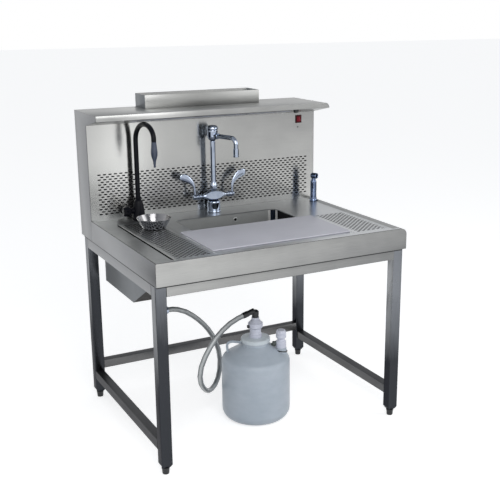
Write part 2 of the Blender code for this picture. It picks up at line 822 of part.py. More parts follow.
def make_fascias():
    front_outline = [(LEFT, SKIRT_BOTTOM), (RIGHT, SKIRT_BOTTOM)]
    corner_centre = (RIGHT - RIM_CORNER, WORK_HEIGHT - RIM_CORNER)
    front_outline += arc(corner_centre, RIM_CORNER, 0, math.pi / 2, 6)
    front_outline.append((LEFT, WORK_HEIGHT))
    slab("fascia_front", "XZ", [front_outline], FRONT, FRONT + SHEET, BRUSHED_STEEL)
    box(
        "fascia_left",
        (LEFT, FRONT + SHEET + GAP, SKIRT_BOTTOM),
        (LEFT + SHEET, PANEL_Y - GAP, WORK_HEIGHT),
        BRUSHED_STEEL,
    )
    slab(
        "fascia_right",
        "XZ",
        [rolled_profile(SKIRT_BOTTOM, WORK_HEIGHT, RIM_CORNER)],
        FRONT + SHEET + GAP,
        PANEL_Y - GAP,
        BRUSHED_STEEL,
    )


def make_deck():
    """The flat worktop with its raised edge, the sink cut-out and the ledges for the plates."""
    left_low = (LEFT_PLATE_LOW[0] - LEFT_SLOT_WIDTH, LEFT_PLATE_LOW[1] - PLATE_CLEARANCE)
    left_high = (LEFT_PLATE_HIGH[0] + PLATE_CLEARANCE, LEFT_PLATE_HIGH[1] + PLATE_CLEARANCE)
    right_low = (RIGHT_PLATE_LOW[0] - PLATE_CLEARANCE, RIGHT_PLATE_LOW[1] - PLATE_CLEARANCE)
    right_high = (RIGHT_PLATE_HIGH[0] + PLATE_CLEARANCE, RIGHT_PLATE_HIGH[1] + PLATE_CLEARANCE)
    deck = box(
        "worktop_deck",
        (DECK_LEFT + RIM_WIDTH / 2, DECK_FRONT + RIM_WIDTH / 2, DECK_BOTTOM),
        (DECK_RIGHT - SHEET / 2, DECK_BACK, DECK_TOP),
        POLISHED_STEEL,
    )
    below = DECK_BOTTOM - SHEET
    above = DECK_TOP + SHEET
    left_hole = box(
        "left_hole",
        (left_low[0], left_low[1] + PLATE_LEDGE, below),
        (left_high[0] - PLATE_LEDGE, left_high[1] - PLATE_LEDGE, above),
    )
    right_hole = box(
        "right_hole",
        (right_low[0] + PLATE_LEDGE, right_low[1] + PLATE_LEDGE, below),
        (right_high[0] - PLATE_LEDGE, right_high[1] - PLATE_LEDGE, above),
    )
    sink_outline = rounded_rectangle(
        (SINK_X - SINK_WIDTH / 2, SINK_FRONT), (SINK_X + SINK_WIDTH / 2, SINK_BACK), SINK_CORNER
    )
    sink_hole = slab("sink_hole", "XY", [sink_outline], below, above)
    recess_bottom = PLATE_BOTTOM - GAP
    recess_top = DECK_TOP + RIM_STEP
    left_recess = box(
        "left_recess",
        (LEFT_PLATE_LOW[0] - LEFT_SLOT_WIDTH / 2, left_low[1], recess_bottom),
        (*left_high, recess_top),
    )
    right_recess = box("right_recess", (*right_low, recess_bottom), (*right_high, recess_top))
    edge_back = DECK_BACK - SHEET
    edge_outline = [
        (DECK_LEFT, DECK_FRONT),
        (DECK_RIGHT, DECK_FRONT),
        (DECK_RIGHT, edge_back),
        (DECK_RIGHT - SHEET, edge_back),
        (DECK_RIGHT - SHEET, DECK_FRONT + RIM_WIDTH),
        (DECK_LEFT + RIM_WIDTH, DECK_FRONT + RIM_WIDTH),
        (DECK_LEFT + RIM_WIDTH, edge_back),
        (DECK_LEFT, edge_back),
    ]
    raised_edge = slab("raised_edge", "XY", [edge_outline], DECK_BOTTOM - SHEET, WORK_HEIGHT)
    combine(deck, "DIFFERENCE", left_hole, right_hole, sink_hole, left_recess, right_recess)
    combine(deck, "UNION", raised_edge)


def hole_grid(low, high, margin, size, pitch, stagger):
    """Rectangular holes on a grid that fills the plate inside its plain margin."""
    room = (high[0] - low[0] - 2 * margin, high[1] - low[1] - 2 * margin)
    columns = int((room[0] - size[0]) / pitch[0] + 1e-6) + 1
    rows = int((room[1] - size[1]) / pitch[1] + 1e-6) + 1
    middle = ((low[0] + high[0]) / 2, (low[1] + high[1]) / 2)
    holes = []
    for row in range(rows):
        short = stagger and row % 2
        count = columns - 1 if short else columns
        for column in range(count):
            x = middle[0] + (column - (count - 1) / 2) * pitch[0]
            y = middle[1] + (row - (rows - 1) / 2) * pitch[1]
            corner = (x - size[0] / 2, y - size[1] / 2)
            holes.append(rectangle(corner, (corner[0] + size[0], corner[1] + size[1])))
    return holes


def make_plates():
    left_holes = hole_grid(
        LEFT_PLATE_LOW,
        LEFT_PLATE_HIGH,
        PLATE_MARGIN,
        (LEFT_HOLE_SIZE, LEFT_HOLE_SIZE),
        (LEFT_HOLE_PITCH_X, LEFT_HOLE_PITCH_Y),
        False,
    )
    slab(
        "left_plate",
        "XY",
        [rectangle(LEFT_PLATE_LOW, LEFT_PLATE_HIGH)] + left_holes,
        PLATE_BOTTOM,
        PLATE_TOP,
        POLISHED_STEEL,
    )
    right_holes = hole_grid(
        RIGHT_PLATE_LOW,
        RIGHT_PLATE_HIGH,
        PLATE_MARGIN,
        (RIGHT_SLOT_LENGTH, RIGHT_SLOT_WIDTH),
        (RIGHT_SLOT_PITCH_X, RIGHT_SLOT_PITCH_Y),
        True,
    )
    slab(
        "right_plate",
        "XY",
        [rectangle(RIGHT_PLATE_LOW, RIGHT_PLATE_HIGH)] + right_holes,
        PLATE_BOTTOM,
        PLATE_TOP,
        POLISHED_STEEL,
    )


def make_board():
    outline = rounded_rectangle(
        (BOARD_LEFT, BOARD_FRONT),
        (BOARD_RIGHT, BOARD_FRONT + BOARD_LENGTH),
        BOARD_CORNER,
        3,
    )
    bottom = DECK_TOP + GAP
    slab("cutting_board", "XY", [outline], bottom, bottom + BOARD_THICKNESS, WHITE_BOARD)


def make_sink():
    low = (SINK_X - SINK_WIDTH / 2, SINK_FRONT)
    high = (SINK_X + SINK_WIDTH / 2, SINK_BACK)
    outer_low = (low[0] - SHEET, low[1] - SHEET)
    outer_high = (high[0] + SHEET, high[1] + SHEET)
    top = DECK_BOTTOM - GAP
    outer_radius = SINK_CORNER + SHEET
    basin = slab(
        "sink_basin",
        "XY",
        [rounded_rectangle(outer_low, outer_high, outer_radius)],
        SINK_FLOOR - SHEET,
        top,
        POLISHED_STEEL,
    )
    flange_low = (low[0] - SINK_FLANGE, low[1] - SINK_FLANGE)
    flange_high = (high[0] + SINK_FLANGE, high[1] + SINK_FLANGE)
    flange = slab(
        "sink_flange",
        "XY",
        [rounded_rectangle(flange_low, flange_high, SINK_CORNER + SINK_FLANGE)],
        top - SHEET,
        top,
    )
    hollow = slab(
        "sink_hollow",
        "XY",
        [rounded_rectangle(low, high, SINK_CORNER)],
        SINK_FLOOR,
        top + SHEET,
    )
    centre = (SINK_X, SINK_Y)
    drain_hole = cylinder(
        "drain_hole",
        (*centre, SINK_FLOOR - 2 * SHEET),
        (*centre, SINK_FLOOR + SHEET),
        DRAIN_BORE + DRAIN_WALL + GAP,
    )
    combine(basin, "UNION", flange)
    combine(basin, "DIFFERENCE", hollow, drain_hole)
    tail_radius = DRAIN_BORE + DRAIN_WALL
    flange_bottom = SINK_FLOOR + GAP
    flange_top = flange_bottom + DRAIN_FLANGE_HEIGHT
    tail_bottom = SINK_FLOOR - DRAIN_TAIL
    profile = [
        (DRAIN_BORE, flange_top),
        (DRAIN_FLANGE, flange_top),
        (DRAIN_FLANGE, flange_bottom),
        (tail_radius, flange_bottom),
        (tail_radius, tail_bottom),
        (DRAIN_BORE, tail_bottom),
    ]
    turned("sink_drain", profile, (*centre, 0), CHROME, PLAIN_TURN, closed=True)


def make_plenum():
    """A folded trough under the worktop: flat floor, sloping front, open at the top."""
    top = DECK_BOTTOM - GAP
    floor_front = PLENUM_BACK - PLENUM_FLOOR_LENGTH
    front = FRONT + PLENUM_FRONT_INSET
    section = [
        (floor_front, PLENUM_FLOOR_HEIGHT),
        (PLENUM_BACK, PLENUM_FLOOR_HEIGHT),
        (PLENUM_BACK, SKIRT_BOTTOM),
        (DECK_BACK, top),
        (front, top),
        (front, PLENUM_LIP_HEIGHT),
    ]
    inner = inset_outline(section, SHEET)
    low_x = LEFT + PLENUM_INSET_SIDE
    high_x = RIGHT - PLENUM_INSET_SIDE
    trough = slab("plenum_trough", "YZ", [section], low_x, high_x, BRUSHED_STEEL)
    hollow = slab("plenum_hollow", "YZ", [inner], low_x + SHEET, high_x - SHEET)
    mouth_front = box(
        "plenum_mouth",
        (low_x + SHEET, front + SHEET, PLENUM_LIP_HEIGHT),
        (high_x - SHEET, DECK_BACK, top + SHEET),
    )
    throat = box(
        "plenum_throat",
        (low_x + SHEET, DECK_BACK - SHEET, SKIRT_BOTTOM - SHEET),
        (high_x - SHEET, PLENUM_BACK - SHEET, top + SHEET),
    )
    outlet = cylinder(
        "outlet_hole",
        (WASTE_X, WASTE_Y, PLENUM_FLOOR_HEIGHT - SHEET),
        (WASTE_X, WASTE_Y, PLENUM_FLOOR_HEIGHT + 2 * SHEET),
        WASTE_BORE,
        SMALL_TURN,
    )
    combine(trough, "DIFFERENCE", hollow, mouth_front, throat, outlet)


def make_waste_elbow():
    """A flanged elbow under the plenum floor, turned towards the hose."""
    top = PLENUM_FLOOR_HEIGHT - GAP
    level = PLENUM_FLOOR_HEIGHT - WASTE_DROP
    elbow = turned(
        "waste_elbow",
        [
            (0, top),
            (WASTE_FLANGE, top),
            (WASTE_FLANGE, top - WASTE_FLANGE_HEIGHT),
            (WASTE_RADIUS, top - WASTE_FLANGE_HEIGHT),
            (WASTE_RADIUS, level - WASTE_RADIUS),
            (0, level - WASTE_RADIUS),
        ],
        (WASTE_X, WASTE_Y, 0),
        BLACK_PLASTIC,
        SMALL_TURN,
    )
    arm = cylinder(
        "waste_arm",
        (WASTE_X, WASTE_Y, level),
        (WASTE_X + WASTE_REACH, WASTE_Y, level),
        WASTE_RADIUS * 0.96,
        SMALL_TURN,
    )
    down_bore = cylinder(
        "waste_bore",
        (WASTE_X, WASTE_Y, level - WASTE_BORE),
        (WASTE_X, WASTE_Y, top + SHEET),
        WASTE_BORE,
        SMALL_TURN,
    )
    side_bore = cylinder(
        "waste_side_bore",
        (WASTE_X, WASTE_Y, level),
        (WASTE_X + WASTE_REACH + SHEET, WASTE_Y, level),
        WASTE_BORE * 0.96,
        SMALL_TURN,
    )
    combine(elbow, "UNION", arm)
    combine(elbow, "DIFFERENCE", down_bore, side_bore)


# Rear cabinet and hood
SIDE_GAP = SHEET + GAP


def panel_outline(bottom):
    """The space between the cabinet's sides, with the rolled corner at the top right."""
    top = TOP_HEIGHT - SIDE_GAP
    centre = (RIGHT - HOOD_CORNER, TOP_HEIGHT - HOOD_CORNER)
    points = [(LEFT + SIDE_GAP, bottom), (RIGHT - SIDE_GAP, bottom)]
    points += arc(centre, HOOD_CORNER - SIDE_GAP, 0, math.pi / 2, 6)
    points.append((LEFT + SIDE_GAP, top))
    return points


def hood_end_outline():
    """The hood's end, from the panel's foot up round the lip and back along the top."""
    return [
        (PANEL_Y, SKIRT_BOTTOM),
        (BACK, SKIRT_BOTTOM),
        (BACK, TOP_HEIGHT),
        (HOOD_FRONT, TOP_HEIGHT),
        (HOOD_FRONT, TOP_HEIGHT - LIP_HEIGHT),
        (PANEL_Y, TOP_HEIGHT - HOOD_ROOT_HEIGHT),
    ]


def make_cabinet():
    slab("cabinet_left", "YZ", [hood_end_outline()], LEFT, LEFT + SHEET, BRUSHED_STEEL)
    right = slab(
        "cabinet_right",
        "XZ",
        [rolled_profile(SKIRT_BOTTOM, TOP_HEIGHT, HOOD_CORNER)],
        HOOD_FRONT,
        BACK,
        BRUSHED_STEEL,
    )
    spare = HOOD_PROJECTION
    under_hood = slab(
        "under_hood",
        "YZ",
        [
            [
                (HOOD_FRONT - spare, SKIRT_BOTTOM - spare),
                (PANEL_Y, SKIRT_BOTTOM - spare),
                (PANEL_Y, TOP_HEIGHT - HOOD_ROOT_HEIGHT),
                (HOOD_FRONT, TOP_HEIGHT - LIP_HEIGHT),
                (HOOD_FRONT - spare, TOP_HEIGHT - LIP_HEIGHT),
            ]
        ],
        RIGHT - 2 * HOOD_CORNER,
        RIGHT + HOOD_CORNER,
    )
    combine(right, "DIFFERENCE", under_hood)
    back = slab(
        "cabinet_back", "XZ", [panel_outline(SKIRT_BOTTOM)], BACK - SHEET, BACK, BRUSHED_STEEL
    )
    floor = box(
        "cabinet_floor",
        (LEFT + SIDE_GAP, PLENUM_BACK + GAP, SKIRT_BOTTOM),
        (RIGHT - SIDE_GAP, BACK - SHEET / 2, SKIRT_BOTTOM + SHEET),
    )
    combine(back, "UNION", floor)


def band_slots():
    """Staggered slots of the back panel, in rows from the lowest up."""
    rows = int((BAND_HEIGHT - BAND_SLOT_HEIGHT) / BAND_PITCH_Z + 1e-6) + 1
    room = WIDTH - 2 * BAND_SIDE_MARGIN - BAND_SLOT_LENGTH
    columns = int(room / BAND_PITCH_X + 1e-6) + 1
    slots = []
    for row in range(rows):
        count = columns - row % 2
        z = DECK_TOP + BAND_BOTTOM + row * BAND_PITCH_Z
        for column in range(count):
            x = (column - (count - 1) / 2) * BAND_PITCH_X
            slots.append(
                rectangle(
                    (x - BAND_SLOT_LENGTH / 2, z), (x + BAND_SLOT_LENGTH / 2, z + BAND_SLOT_HEIGHT)
                )
            )
    return slots


def make_back_panel():
    half_width = SWITCH_WIDTH / 2 - SWITCH_FRAME + GAP
    half_height = SWITCH_HEIGHT / 2 - SWITCH_FRAME + GAP
    switch_hole = rectangle(
        (SWITCH_X - half_width, SWITCH_Z - half_height),
        (SWITCH_X + half_width, SWITCH_Z + half_height),
    )
    outlines = [panel_outline(DECK_TOP + GAP), switch_hole] + band_slots()
    slab("back_panel", "XZ", outlines, PANEL_Y, PANEL_Y + SHEET, POLISHED_STEEL)


def on_underside(x, setback, depth):
    """A point under the hood: setback behind the lip, depth below the sheet along its normal."""
    start = Vector((x, HOOD_FRONT, TOP_HEIGHT - LIP_HEIGHT))
    along = Vector((0, math.cos(HOOD_SLOPE), -math.sin(HOOD_SLOPE)))
    normal = Vector((0, -math.sin(HOOD_SLOPE), -math.cos(HOOD_SLOPE)))
    return start + along * setback + normal * depth


def make_hood():
    """Top sheet, front lip and sloping underside in one folded piece, with the duct opening."""
    thickness = SHEET / math.cos(HOOD_SLOPE)
    end = PANEL_Y - GAP
    root_height = HOOD_ROOT_HEIGHT - GAP * math.tan(HOOD_SLOPE)
    lip_inner_drop = LIP_HEIGHT + SHEET * math.tan(HOOD_SLOPE) - thickness
    section = [
        (end, TOP_HEIGHT - root_height),
        (end, TOP_HEIGHT - root_height + thickness),
        (HOOD_FRONT + SHEET, TOP_HEIGHT - lip_inner_drop),
        (HOOD_FRONT + SHEET, TOP_HEIGHT - SHEET),
        (BACK, TOP_HEIGHT - SHEET),
        (BACK, TOP_HEIGHT),
        (HOOD_FRONT, TOP_HEIGHT),
        (HOOD_FRONT, TOP_HEIGHT - LIP_HEIGHT),
    ]
    hood = slab("hood", "YZ", [section], LEFT + SIDE_GAP, RIGHT - SIDE_GAP, BRUSHED_STEEL)
    spare = HOOD_CORNER
    centre = (RIGHT - HOOD_CORNER, TOP_HEIGHT - HOOD_CORNER)
    corner_outline = [
        (centre[0] - GAP, TOP_HEIGHT + spare),
        (centre[0] - GAP, TOP_HEIGHT - SIDE_GAP),
    ]
    corner_outline += arc(centre, HOOD_CORNER - SIDE_GAP, math.pi / 2, 0, 6)
    corner_outline += [(RIGHT + spare, centre[1]), (RIGHT + spare, TOP_HEIGHT + spare)]
    corner = slab("hood_corner", "XZ", [corner_outline], HOOD_FRONT - spare, BACK + spare)
    duct = box(
        "duct_opening",
        (-COLLAR_WIDTH / 2 + SHEET, COLLAR_FRONT + SHEET, TOP_HEIGHT - 2 * SHEET),
        (COLLAR_WIDTH / 2 - SHEET, COLLAR_BACK - SHEET, TOP_HEIGHT + SHEET),
    )
    lamp_opening = box(
        "lamp_opening",
        (-LAMP_LENGTH / 2 - GAP, -LAMP_WIDTH / 2 - GAP, -3 * SHEET),
        (LAMP_LENGTH / 2 + GAP, LAMP_WIDTH / 2 + GAP, 3 * SHEET),
    )
    lamp_opening.location = on_underside(0, HOOD_PROJECTION / 2, 0)
    lamp_opening.rotation_euler = (-HOOD_SLOPE, 0, 0)
    combine(hood, "DIFFERENCE", corner, duct, lamp_opening)
    collar_low = (-COLLAR_WIDTH / 2, COLLAR_FRONT)
    collar_high = (COLLAR_WIDTH / 2, COLLAR_BACK)
    slab(
        "duct_collar",
        "XY",
        [rectangle(collar_low, collar_high), grown_rectangle(collar_low, collar_high, -SHEET)],
        TOP_HEIGHT + GAP,
        TOP_HEIGHT + COLLAR_HEIGHT,
        BRUSHED_STEEL,
    )


def make_lamp():
    """A flat lamp let into the hood's underside, and its round knob behind the lip."""
    lamp = box(
        "hood_lamp",
        (-LAMP_LENGTH / 2, -LAMP_WIDTH / 2, -GAP - LAMP_FLANGE_HEIGHT),
        (LAMP_LENGTH / 2, LAMP_WIDTH / 2, LAMP_HEIGHT),
        DIFFUSER,
    )
    flange = box(
        "lamp_flange",
        (-LAMP_LENGTH / 2 - LAMP_FLANGE, -LAMP_WIDTH / 2 - LAMP_FLANGE, -GAP - LAMP_FLANGE_HEIGHT),
        (LAMP_LENGTH / 2 + LAMP_FLANGE, LAMP_WIDTH / 2 + LAMP_FLANGE, -GAP),
    )
    for piece in (lamp, flange):
        piece.location = on_underside(0, HOOD_PROJECTION / 2, 0)
        piece.rotation_euler = (-HOOD_SLOPE, 0, 0)
    combine(lamp, "UNION", flange)
    edge = LAMP_KNOB_RADIUS * 0.8
    profile = [
        (0, -GAP),
        (LAMP_KNOB_RADIUS, -GAP),
        (LAMP_KNOB_RADIUS, -LAMP_KNOB_HEIGHT * 0.65),
        (edge, -LAMP_KNOB_HEIGHT),
        (0, -LAMP_KNOB_HEIGHT),
    ]
    place = on_underside(LAMP_KNOB_X, LAMP_KNOB_SETBACK, 0)
    knob = turned("lamp_knob", profile, place, BLACK_PLASTIC, SMALL_TURN)
    knob.rotation_euler = (-HOOD_SLOPE, 0, 0)


def make_switch():
    """A bezel with its body through the panel, and the rocker that tilts in it."""
    half = (SWITCH_WIDTH / 2, SWITCH_HEIGHT / 2)
    body = (half[0] - SWITCH_FRAME, half[1] - SWITCH_FRAME)
    inner = (body[0] - SWITCH_WALL, body[1] - SWITCH_WALL)
    front = PANEL_Y - GAP
    bezel = box(
        "switch_bezel",
        (SWITCH_X - half[0], front - SWITCH_BEZEL, SWITCH_Z - half[1]),
        (SWITCH_X + half[0], front, SWITCH_Z + half[1]),
        BLACK_PLASTIC,
    )
    sleeve = box(
        "switch_sleeve",
        (SWITCH_X - body[0], front - SWITCH_BEZEL / 2, SWITCH_Z - body[1]),
        (SWITCH_X + body[0], front + SWITCH_BODY_DEPTH, SWITCH_Z + body[1]),
    )
    hollow = box(
        "switch_hollow",
        (SWITCH_X - inner[0], front - 2 * SWITCH_BEZEL, SWITCH_Z - inner[1]),
        (SWITCH_X + inner[0], front + SWITCH_BODY_DEPTH - SWITCH_WALL, SWITCH_Z + inner[1]),
    )
    combine(bezel, "UNION", sleeve)
    combine(bezel, "DIFFERENCE", hollow)
    rocker_half = (inner[0] - ROCKER_CLEARANCE, inner[1] - 2 * ROCKER_CLEARANCE)
    face = front - SWITCH_BEZEL - ROCKER_PROUD
    pivot = (SWITCH_X, front, SWITCH_Z)
    fall = rocker_half[1] * math.tan(ROCKER_TILT)
    outline = [
        (face + ROCKER_DEPTH, SWITCH_Z - rocker_half[1]),
        (face + ROCKER_DEPTH, SWITCH_Z + rocker_half[1]),
        (face + 2 * fall, SWITCH_Z + rocker_half[1]),
        (face + fall, SWITCH_Z),
        (face, SWITCH_Z - rocker_half[1]),
    ]
    rocker = slab(
        "switch_rocker",
        "YZ",
        [outline],
        SWITCH_X - rocker_half[0],
        SWITCH_X + rocker_half[0],
        RED_PLASTIC,
    )
    move_origin(rocker, pivot)


# Main tap
def turned_along_x(name, profile, place, finish, segments=PLAIN_TURN):
    """A turned piece whose axis lies along X; the profile's heights run towards +X."""
    piece = turned(name, profile, place, finish, segments)
    piece.rotation_euler = (0, math.pi / 2, 0)
    return piece


def make_lever(name, side):
    """A hub on the valve's end, a thin stem that rises and leans outwards, and a paddle."""
    start = side * (VALVE_END + GAP)
    middle = start + side * HUB_LENGTH / 2
    centre = Vector((TAP_X, TAP_Y, TAP_BODY_Z))
    hub = cylinder(
        name,
        centre + Vector((start, 0, 0)),
        centre + Vector((start + side * HUB_LENGTH, 0, 0)),
        HUB_RADIUS,
        SMALL_TURN,
        CHROME,
    )
    stem_points = smooth_route(
        [
            centre + Vector((middle, 0, 0)),
            centre + Vector((middle, 0, LEVER_RISE * 0.6)),
            centre + Vector((middle + side * LEVER_REACH * 0.06, 0, LEVER_RISE)),
            centre + Vector((middle + side * LEVER_REACH * 0.25, 0, LEVER_RISE * 0.75 + LEVER_TOP * 0.25)),
            centre + Vector((middle + side * LEVER_REACH * 0.5, 0, (LEVER_RISE + LEVER_TOP) / 2)),
        ],
        LEVER_RISE / 4,
    )
    stem = tube(name + "_stem", stem_points, LEVER_RADIUS, resolution=1)
    lean = math.atan2(LEVER_TOP - LEVER_RISE, LEVER_REACH)
    paddle_centre = centre + Vector((middle + side * LEVER_REACH * 0.55, 0, LEVER_TOP * 0.78))
    paddle = ellipsoid(
        name + "_paddle",
        paddle_centre,
        (PADDLE_LENGTH / 2, PADDLE_THICKNESS / 2, PADDLE_WIDTH / 2),
        -side * lean,
    )
    move_origin(hub, centre)
    combine(hub, "UNION", stem, paddle)


def make_main_tap():
    base = DECK_TOP + GAP
    pillar_top = DECK_TOP + PILLAR_HEIGHT
    turned(
        "tap_pillar",
        [
            (0, pillar_top),
            (PILLAR_RADIUS * 0.9, pillar_top),
            (PILLAR_RADIUS, pillar_top - PILLAR_FLANGE_HEIGHT),
            (PILLAR_RADIUS, base + 2 * PILLAR_FLANGE_HEIGHT),
            (PILLAR_FLANGE, base + PILLAR_FLANGE_HEIGHT),
            (PILLAR_FLANGE, base),
            (0, base),
        ],
        (TAP_X, TAP_Y, 0),
        CHROME,
    )
    spindle = []
    for index in range(-4, 5):
        share = index / 4
        bulge = BODY_NECK_RADIUS + (BODY_RADIUS - BODY_NECK_RADIUS) * (1 - share * share)
        spindle.append((bulge, -share * BODY_HALF))
    profile = [
        (0, VALVE_END),
        (VALVE_RADIUS, VALVE_END),
        (VALVE_RADIUS, BODY_NECK_END),
        (BODY_NECK_RADIUS, BODY_NECK_END - BODY_NECK_RADIUS / 2),
    ]
    profile += spindle
    profile += [
        (BODY_NECK_RADIUS, -BODY_NECK_END + BODY_NECK_RADIUS / 2),
        (VALVE_RADIUS, -BODY_NECK_END),
        (VALVE_RADIUS, -VALVE_END),
        (0, -VALVE_END),
    ]
    turned_along_x("tap_body", profile, (TAP_X, TAP_Y, TAP_BODY_Z), CHROME)
    make_lever("tap_lever_left", -1)
    make_lever("tap_lever_right", 1)
    nut_top = TAP_RISER_BOTTOM + RISER_NUT_HEIGHT
    turned(
        "tap_riser",
        [
            (0, TAP_RISER_TOP),
            (RISER_RADIUS, TAP_RISER_TOP),
            (RISER_RADIUS, nut_top),
            (RISER_NUT_RADIUS * 0.85, nut_top - RISER_RADIUS / 2),
            (RISER_NUT_RADIUS, nut_top - 2 * RISER_RADIUS),
            (RISER_NUT_RADIUS, TAP_RISER_BOTTOM + RISER_RADIUS),
            (RISER_RADIUS, TAP_RISER_BOTTOM),
            (0, TAP_RISER_BOTTOM),
        ],
        (TAP_X, TAP_Y, 0),
        CHROME,
    )
    make_breaker_and_spout()


def make_breaker_and_spout():
    """The vacuum breaker on the riser and the spout out of its side; both swing together."""
    bottom = TAP_RISER_TOP + GAP
    top = bottom + BREAKER_HEIGHT
    turned(
        "breaker_body",
        [
            (0, top),
            (BREAKER_RADIUS, top),
            (BREAKER_RADIUS, bottom + BREAKER_HEIGHT * 0.5),
            (BREAKER_RADIUS * 0.85, bottom + BREAKER_HEIGHT * 0.2),
            (RISER_RADIUS, bottom),
            (0, bottom),
        ],
        (TAP_X, TAP_Y, 0),
        CHROME,
    )
    cap_bottom = top + GAP
    dome = []
    for index in range(5):
        angle = math.pi / 2 * (1 - index / 5)
        dome.append(
            (
                BREAKER_CAP_RADIUS * math.cos(angle),
                cap_bottom + BREAKER_CAP_HEIGHT * (0.4 + 0.6 * math.sin(angle)),
            )
        )
    turned(
        "breaker_cap",
        dome
        + [
            (BREAKER_CAP_RADIUS, cap_bottom + BREAKER_CAP_HEIGHT * 0.4),
            (BREAKER_CAP_RADIUS, cap_bottom),
            (0, cap_bottom),
        ],
        (TAP_X, TAP_Y, 0),
        CHROME,
    )
    level = bottom + SPOUT_LEVEL
    direction = Vector((math.cos(SPOUT_ANGLE), math.sin(SPOUT_ANGLE), 0))
    axis = Vector((TAP_X, TAP_Y, level))
    down = Vector((0, 0, -1))
    points = [
        axis + direction * (BREAKER_RADIUS + GAP),
        axis + direction * (SPOUT_REACH - SPOUT_BEND),
    ]
    corner = axis + direction * (SPOUT_REACH - SPOUT_BEND) + down * SPOUT_BEND
    for index in range(1, 6):
        angle = math.pi / 2 * index / 6
        points.append(
            corner + direction * SPOUT_BEND * math.sin(angle) - down * SPOUT_BEND * math.cos(angle)
        )
    tip = axis + direction * SPOUT_REACH + down * SPOUT_DROP
    points += [axis + direction * SPOUT_REACH + down * SPOUT_BEND, tip]
    spout = tube("tap_spout", points, SPOUT_RADIUS, CHROME, 2)
    aerator = cylinder(
        "spout_tip",
        tip - down * SPOUT_TIP_LENGTH,
        tip + down * SPOUT_TIP_LENGTH * 0.2,
        SPOUT_TIP_RADIUS,
        SMALL_TURN,
    )
    move_origin(spout, (TAP_X, TAP_Y, level))
    combine(spout, "UNION", aerator)


# Gooseneck tap, bowl and spray
def make_gooseneck():
    base = DECK_TOP + GAP
    top = DECK_TOP + GOOSE_BASE_HEIGHT
    bell = []
    for index in range(6):
        share = index / 5
        radius = GOOSE_COLLAR_RADIUS + (GOOSE_BASE_RADIUS - GOOSE_COLLAR_RADIUS) * share**GOOSE_BELL_POWER
        bell.append((radius, top - GOOSE_BASE_HEIGHT * 0.8 * share))
    body = turned(
        "gooseneck_base",
        [(0, top)] + bell + [(GOOSE_BASE_RADIUS, base), (0, base)],
        (GOOSE_X, GOOSE_Y, 0),
        BLACK_COATING,
    )
    boss_level = DECK_TOP + GOOSE_BOSS_HEIGHT
    boss = cylinder(
        "gooseneck_boss",
        (GOOSE_X, GOOSE_Y, boss_level),
        (GOOSE_X - GOOSE_BOSS_LENGTH, GOOSE_Y, boss_level),
        GOOSE_BOSS_RADIUS,
        SMALL_TURN,
    )
    combine(body, "UNION", boss)
    turned_along_x(
        "gooseneck_knob",
        [
            (0, -GAP),
            (GOOSE_BOSS_RADIUS, -GAP),
            (GOOSE_KNOB_RADIUS, -GOOSE_KNOB_LENGTH * 0.25),
            (GOOSE_KNOB_RADIUS, -GOOSE_KNOB_LENGTH * 0.85),
            (GOOSE_KNOB_RADIUS * 0.8, -GOOSE_KNOB_LENGTH),
            (0, -GOOSE_KNOB_LENGTH),
        ],
        (GOOSE_X - GOOSE_BOSS_LENGTH, GOOSE_Y, boss_level),
        BLACK_COATING,
        SMALL_TURN,
    )
    direction = Vector((math.cos(GOOSE_ANGLE), math.sin(GOOSE_ANGLE), 0))
    stem = Vector((GOOSE_X, GOOSE_Y, DECK_TOP))
    up = Vector((0, 0, 1))
    points = [stem + up * (GOOSE_BASE_HEIGHT + GAP)]
    steps = 14
    for index in range(steps + 1):
        angle = math.pi * index / steps
        across = GOOSE_REACH / 2 * (1 - math.cos(angle))
        ends = GOOSE_STEM_TOP + (GOOSE_END + GOOSE_TAIL - GOOSE_STEM_TOP) * index / steps
        height = ends + GOOSE_RISE * math.sin(angle) - DECK_TOP
        points.append(stem + direction * across + up * height)
    points.append(stem + direction * GOOSE_REACH + up * (GOOSE_END - DECK_TOP))
    neck = tube("gooseneck_neck", points, GOOSE_NECK_RADIUS, BLACK_COATING, 2)
    move_origin(neck, (GOOSE_X, GOOSE_Y, DECK_TOP))
    nozzle_top = GOOSE_END - GAP
    turned(
        "gooseneck_nozzle",
        [
            (0, nozzle_top),
            (GOOSE_NECK_RADIUS, nozzle_top),
            (GOOSE_NECK_RADIUS, nozzle_top - NOZZLE_LENGTH * 0.12),
            (NOZZLE_RADIUS, nozzle_top - NOZZLE_LENGTH * 0.38),
            (NOZZLE_RADIUS * 0.92, nozzle_top - NOZZLE_LENGTH * 0.55),
            (NOZZLE_TIP_RADIUS * 1.3, nozzle_top - NOZZLE_LENGTH * 0.75),
            (NOZZLE_TIP_RADIUS, nozzle_top - NOZZLE_LENGTH),
            (0, nozzle_top - NOZZLE_LENGTH),
        ],
        (NOZZLE_X, NOZZLE_Y, 0),
        BLACK_COATING,
        SMALL_TURN,
    )


def make_bowl():
    """A thin spun bowl standing on the left plate under the gooseneck."""
    base = DECK_TOP + GAP
    rim = base + BOWL_HEIGHT
    slope = Vector((BOWL_RIM_RADIUS - BOWL_FOOT_RADIUS, BOWL_HEIGHT)).normalized()
    shift = BOWL_WALL / slope.y
    profile = [
        (BOWL_RIM_RADIUS, rim),
        (BOWL_FOOT_RADIUS, base),
        (0, base),
        (0, base + BOWL_WALL),
        (BOWL_FOOT_RADIUS - shift + BOWL_WALL * slope.x / slope.y, base + BOWL_WALL),
        (BOWL_RIM_RADIUS - shift, rim),
    ]
    place = (NOZZLE_X - BOWL_SHIFT, NOZZLE_Y, 0)
    turned("drip_bowl", profile, place, POLISHED_STEEL, FINE_TURN, closed=True)


